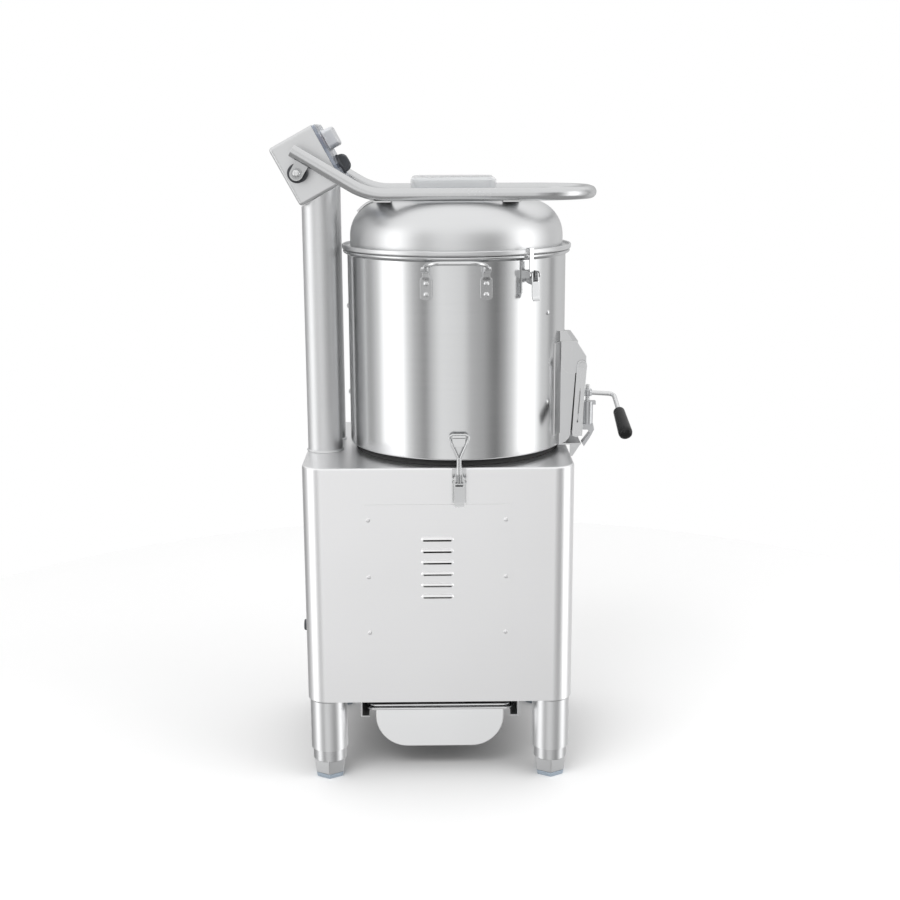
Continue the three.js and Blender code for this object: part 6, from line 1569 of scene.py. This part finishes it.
@dataclass
class Lid:
    """The lid with its window and its hoop."""

    foot: float = 752.3 * MM
    top: float = 820.5 * MM
    radius: float = 152 * MM
    rim: float = 164 * MM
    rim_height: float = 7 * MM
    rim_band: float = 3 * MM
    roll: float = 2.2 * MM
    crease: float = 1.6 * MM
    fillet: float = 1.2 * MM
    shoulder: float = 50 * MM
    wall: float = 1.4 * MM
    window_centre: float = -4.5
    window_half_x: float = 59.5
    window_half_y: float = 63.0
    window_height: float = 32.0
    window_corner: float = 13 * MM
    window_fold: float = 5 * MM
    window_wall: float = 2.4 * MM
    window_gap: float = 0.3 * MM
    hole_inset: float = 9.5
    hole_low: float = 800.0
    hole_high: float = 840.0
    hole_corner: float = 4 * MM
    notch_low: Vector = spot(156, -6.5, 745)
    notch_high: Vector = spot(172, 6.5, 770)
    notch_turn: float = -53.9

    def build(self) -> None:
        """Makes the lid's pieces."""
        self._dome()
        self._window()
        Hoop().build()

    def _dome(self) -> None:
        """Models the rim, wall, shoulder and top in one turn, and cuts the hole and the notch."""
        middle = (self.radius - self.shoulder, self.top - self.shoulder)
        brim, band, ledge = self.rim - self.rim_band, self.rim_band / 2, self.foot + self.wall
        profile = [
            (self.radius - self.wall, self.foot),
            *arc((self.rim - self.roll, self.foot + self.roll), self.roll, -90, 0, 5),
            *arc((self.rim - band, self.foot + self.rim_height - band), band, 0, 180, 8),
            (brim, ledge + self.crease), (brim - self.crease, ledge),
            (self.radius + self.fillet, ledge), (self.radius, ledge + self.fillet),
            *arc(middle, self.shoulder, 0, 90, 18), (0, self.top), (0, self.top - self.wall),
            *arc(middle, self.shoulder - self.wall, 90, 0, 18),
        ]
        dome = Shaper("lid_shell").lathe((AXIS_X, 0, 0), profile, 160).done()
        half_x, half_y = self.window_half_x - self.hole_inset, self.window_half_y - self.hole_inset
        hole = Shaper("hole").block(
            spot(self.window_centre - half_x, -half_y, self.hole_low),
            spot(self.window_centre + half_x, half_y, self.hole_high))
        hole = hole.edges(lambda a, b: abs(a.z - b.z) > MM).bevel(self.hole_corner, 4).done()
        notch = Shaper("notch").block(self.notch_low, self.notch_high).done()
        turned = Bench.moved(notch, "notch_turned", turn_about_axis(self.notch_turn))
        Bench.for_node(Bench.cut(dome, hole, turned), DOME_STEEL, "lid_dome", TURNED)

    def _window(self) -> None:
        """Models the clear hood: a block with rounded corners and folds, open below."""
        base = self.top + self.window_gap
        low = spot(self.window_centre - self.window_half_x, -self.window_half_y, 0)
        high = spot(self.window_centre + self.window_half_x, self.window_half_y, 0)
        low.z, high.z = base, base + self.window_height * MM
        shaper = Shaper("window_hood").block(low, high)
        shaper.edges(lambda a, b: abs(a.z - b.z) > MM).bevel(self.window_corner, 10)
        shaper.edges(lambda a, b: min(a.z, b.z) > high.z - SLACK).bevel(self.window_fold, 6)
        shaper.faces(lambda centre, normal: normal.z < -SQUARE).drop()
        hood = shaper.done()
        Bench.modify(hood, "SOLIDIFY", thickness=self.window_wall, offset=-1.0)
        Bench.for_node(hood, CLEAR_SHEET, "lid_window", 40.0)


@dataclass
class Hoop:
    """The bent tube that lifts the lid, with its straps, ears and hinge pins."""

    pivot: tuple[float, float] = (-216.8, 860.0)
    half: float = 100.0
    tube: float = 8.75 * MM
    tube_wall: float = 1.6 * MM
    level: float = 831.05
    front: float = 189.0
    corner: float = 84 * MM
    knee: float = 91 * MM
    slope: float = 30.6
    end_behind: float = 5.9
    end_above: float = 30.5
    straps: tuple[float, float] = (-102.0, 74.0)
    strap_half: float = 12.0
    strap_low: float = 820.8
    strap_high: float = 823.2
    strap_lap: float = 4.4
    bolt: float = 5.2 * MM
    bolt_dome: float = 6.5 * MM
    bolt_spread: float = 30.0
    tab_half: float = 15.0
    tab_root: float = 0.4
    tab_middle: float = 770.5
    tab_turn: float = 48.0
    ear_half: float = 9.0
    ear_thick: float = 2.5
    ear_drop: float = 10.0
    ear_rise: float = 24.0
    ear_round: float = 8.9 * MM
    collar: tuple[tuple[float, float], ...] = (
        (0, -33.7), (12.4, -33.7), (13.2, -32.9), (13.2, -3.6), (12.4, -2.8), (0, -2.8))
    washer: tuple[tuple[float, float], ...] = (
        (0, -3.4), (4.7, -3.4), (4.7, 2.8), (7.0, 2.8), (7.3, 3.1), (7.3, 4.1), (7.0, 4.4), (0, 4.4))
    button: tuple[tuple[float, float], ...] = (
        (0, 4.9), (5.4, 4.9), (5.4, 5.6), (4.8, 6.6), (3.8, 7.4), (2.6, 7.7), (0, 7.7))
    socket: tuple[float, float, float] = (2.7 * MM, 6 * MM, 9 * MM)

    def build(self) -> None:
        """Makes the hoop's pieces."""
        self._tube()
        self._straps()
        self._tab()
        for label, side in (("near", -1), ("far", 1)):
            self._ear(label, side)
            self._hinge(label, side)

    def _tube(self) -> None:
        """Bends the tube from one hinge round the front to the other."""
        slope = math.radians(self.slope)
        x, z = self.pivot[0] - self.end_behind, self.pivot[1] + self.end_above
        run = (z - self.level) / math.tan(slope)
        stations = ((x, z), (x + run, self.level), (self.front, self.level))
        near = [spot(along, -self.half, height) for along, height in stations]
        route = near + [Vector((place.x, -place.y, place.z)) for place in reversed(near)]
        shaper = Shaper("hoop_tube").ring(route[0], route[1] - route[0], self.tube, 40)
        shaper.drawn(route, (self.knee, self.corner, self.corner, self.knee), 26)
        tube = shaper.done()
        Bench.modify(tube, "SOLIDIFY", thickness=self.tube_wall, offset=-1.0)
        Bench.for_node(tube, HOOP_STEEL, "lid_hoop", BENT)

    def _straps(self) -> None:
        """Models the two straps between the tube's legs, each with two domed bolts."""
        sunk = 0.3 * MM
        profile = [(0, -sunk), (self.bolt, -sunk), *arc((0, -2.4 * MM), self.bolt_dome, 38, 90, 7)]
        bolt = Shaper("strap_bolt").lathe(ORIGIN, profile, 28).done()
        count = 0
        for i, x in enumerate(self.straps, 1):
            strap = Shaper(f"hoop_strap_{i}").block(
                spot(x - self.strap_half, -self.half - self.strap_lap, self.strap_low),
                spot(x + self.strap_half, self.half + self.strap_lap, self.strap_high))
            Bench.for_node(strap.all_edges(ROUND_EDGE, 2).done(), HOOP_STEEL, "lid_hoop", 40.0)
            for y in (-self.bolt_spread, self.bolt_spread):
                count += 1
                place = Matrix.Translation(spot(x, y, self.strap_high))
                twin = Bench.copied(bolt, f"strap_bolt_{count}", place)
                Bench.for_node(twin, SCREW_STEEL, "lid_hoop", FOLDED)
        bpy.data.objects.remove(bolt)

    def _tab(self) -> None:
        """Models the strip that follows the dome's shoulder down from the rear strap."""
        start = self.straps[0]
        shaper = Shaper("hoop_tab").block(
            spot(start - self.tab_root, -self.tab_half, self.strap_low),
            spot(start + self.tab_root, self.tab_half, self.strap_high))
        shaper.faces(lambda centre, normal: normal.x < -SQUARE)
        turn, middle = math.radians(self.tab_turn), spot(start, 0, self.tab_middle)
        bpy.ops.mesh.spin(steps=14, angle=turn, center=middle, axis=(0, 1, 0))
        Bench.for_node(shaper.joined().done(), HOOP_STEEL, "lid_hoop", 40.0)

    def _ear(self, label: str, side: int) -> None:
        """Models the plate from the tube's end down to the hinge pin.

        Args:
            label: The side's name.
            side: -1 for the near side, 1 for the far side.
        """
        shaper = Shaper("ear").block(
            Vector((-self.ear_half, -self.ear_thick, -self.ear_drop)) * MM,
            Vector((self.ear_half, self.ear_thick, self.ear_rise)) * MM)
        shaper.edges(lambda a, b: abs(a.y - b.y) > MM and max(a.z, b.z) < 0).bevel(self.ear_round, 8)
        lean = Matrix.Rotation(math.radians(self.slope), 4, "Y")
        ear = Bench.moved(shaper.done(), f"hoop_ear_{label}", self._pivot_at(side) @ lean)
        Bench.for_node(ear, EAR_STEEL, "lid_hoop", SHARP)

    def _pivot_at(self, side: int) -> Matrix:
        """Gives the move from the origin to one side's hinge pin."""
        return Matrix.Translation(spot(self.pivot[0], side * self.half, self.pivot[1]))

    def _hinge(self, label: str, side: int) -> None:
        """Models the black collar against the control box, and the pin with its washer and button head.

        Args:
            label: The side's name.
            side: -1 for the near side, 1 for the far side.
        """
        face = self._pivot_at(side) @ Matrix.Rotation(-side * math.pi / 2, 4, "X")
        for name, profile, finish in (
            ("collar", self.collar, BLACK_PLASTIC),
            ("washer", self.washer, DARK_STEEL),
            ("button", self.button, SCREW_STEEL),
        ):
            model = Shaper(name).lathe(ORIGIN, in_metres(profile), 48).done()
            if name == "button":
                radius, low, high = self.socket
                recess = Shaper("socket").rod(Vector((0, 0, low)), Vector((0, 0, high)), radius, 6)
                Bench.cut(model, recess.done())
            placed = Bench.moved(model, f"hinge_{name}_{label}", face)
            Bench.for_node(placed, finish, f"hinge_bush_{label}", FOLDED)


@dataclass
class Controls:
    """The posts and the tilted box with its timer and switches."""

    post_radius: float = 25 * MM
    post_wall: float = 2 * MM
    post_rough_top: float = 900 * MM
    weld_foot: float = 1.9 * MM
    weld_side: float = 1.3 * MM
    weld_rise: float = 1.2 * MM
    weld_top: float = 2.2 * MM
    post_foot: float = 465.3
    post_x: float = -192.0
    post_half: float = 38.0
    box_centre: tuple[float, float, float] = (-207.8, 0.0, 868.6)
    box_tilt: float = 28.5
    box_size: tuple[float, float, float] = (67.0, 132.0, 88.5)
    box_round: float = 5 * MM
    box_gap: float = 0.3
    sheet: float = 1.5 * MM

    def build(self) -> None:
        """Makes the posts and the controls."""
        for label, side in (("near", -1), ("far", 1)):
            self._post(label, side)
        self._box()
        for node, finish, edge in (
            ("control_fascia", PLATE_STEEL, FINE_EDGE), ("clear_cover", CLEAR_COVER, ROUND_EDGE),
            ("timer_body", WHITE_PLASTIC, FINE_EDGE), ("timer_knob", BLACK_PLASTIC, ROUND_EDGE),
            ("switch_block", BLACK_PLASTIC, FINE_EDGE), ("start_button", GREEN_PLASTIC, SOFT_EDGE),
            ("stop_button", RED_PLASTIC, SOFT_EDGE), ("switch_boot", BOOT_RUBBER, BLUNT_EDGE),
        ):
            Bench.dressed_node(node, finish, edge)

    def _post(self, label: str, side: int) -> None:
        """Models a post: a tube with a weld at its foot, mitred to the tilted box.

        Args:
            label: The side's name.
            side: -1 for the near side, 1 for the far side.
        """
        centre = spot(self.post_x, side * self.post_half, 0)
        inner, outer, foot = self.post_radius - self.post_wall, self.post_radius, self.post_foot * MM
        profile = [
            (inner, foot), (outer + self.weld_foot, foot), (outer + self.weld_side, foot + self.weld_rise),
            (outer, foot + self.weld_top), (outer, self.post_rough_top), (inner, self.post_rough_top),
        ]
        tilt = math.radians(self.box_tilt)
        down = Vector((math.sin(tilt), 0, -math.cos(tilt)))
        plane = spot(*self.box_centre) + down * (self.box_size[2] / 2 + self.box_gap) * MM
        tube = Shaper(f"post_tube_{label}").lathe(centre, profile, 72).sliced(plane, -down)
        Bench.for_node(tube.done(), POST_STEEL, f"post_{label}", 40.0)

    def _box(self) -> None:
        """Models the folded box, open at the front, and tilts it."""
        half = Vector(self.box_size) * MM / 2
        shaper = Shaper("control_case").block(-half, half)
        shaper.edges(lambda a, b: min(a.x, b.x) < half.x - SLACK).bevel(self.box_round, 6)
        shaper.faces(lambda centre, normal: normal.x > SQUARE)
        shaper.recess(self.sheet, (-2 * half.x + 2 * self.sheet, 0, 0))
        lean = Matrix.Rotation(-math.radians(self.box_tilt), 4, "Y")
        place = Matrix.Translation(spot(*self.box_centre)) @ lean
        placed = Bench.moved(shaper.done(), "control_case_tilted", place)
        Bench.for_node(placed, BOX_STEEL, "control_box", 40.0)


def main() -> None:
    """Builds the scene, sub-assembly by sub-assembly."""
    logging.basicConfig(level=logging.INFO, format="%(name)s %(message)s")
    for part in (Studio(), Cabinet(), Drive(), Drum(), Door(), Lid(), Controls()):
        part.build()
        LOG.info("built %s", type(part).__name__)


if __name__ == "__main__":
    main()
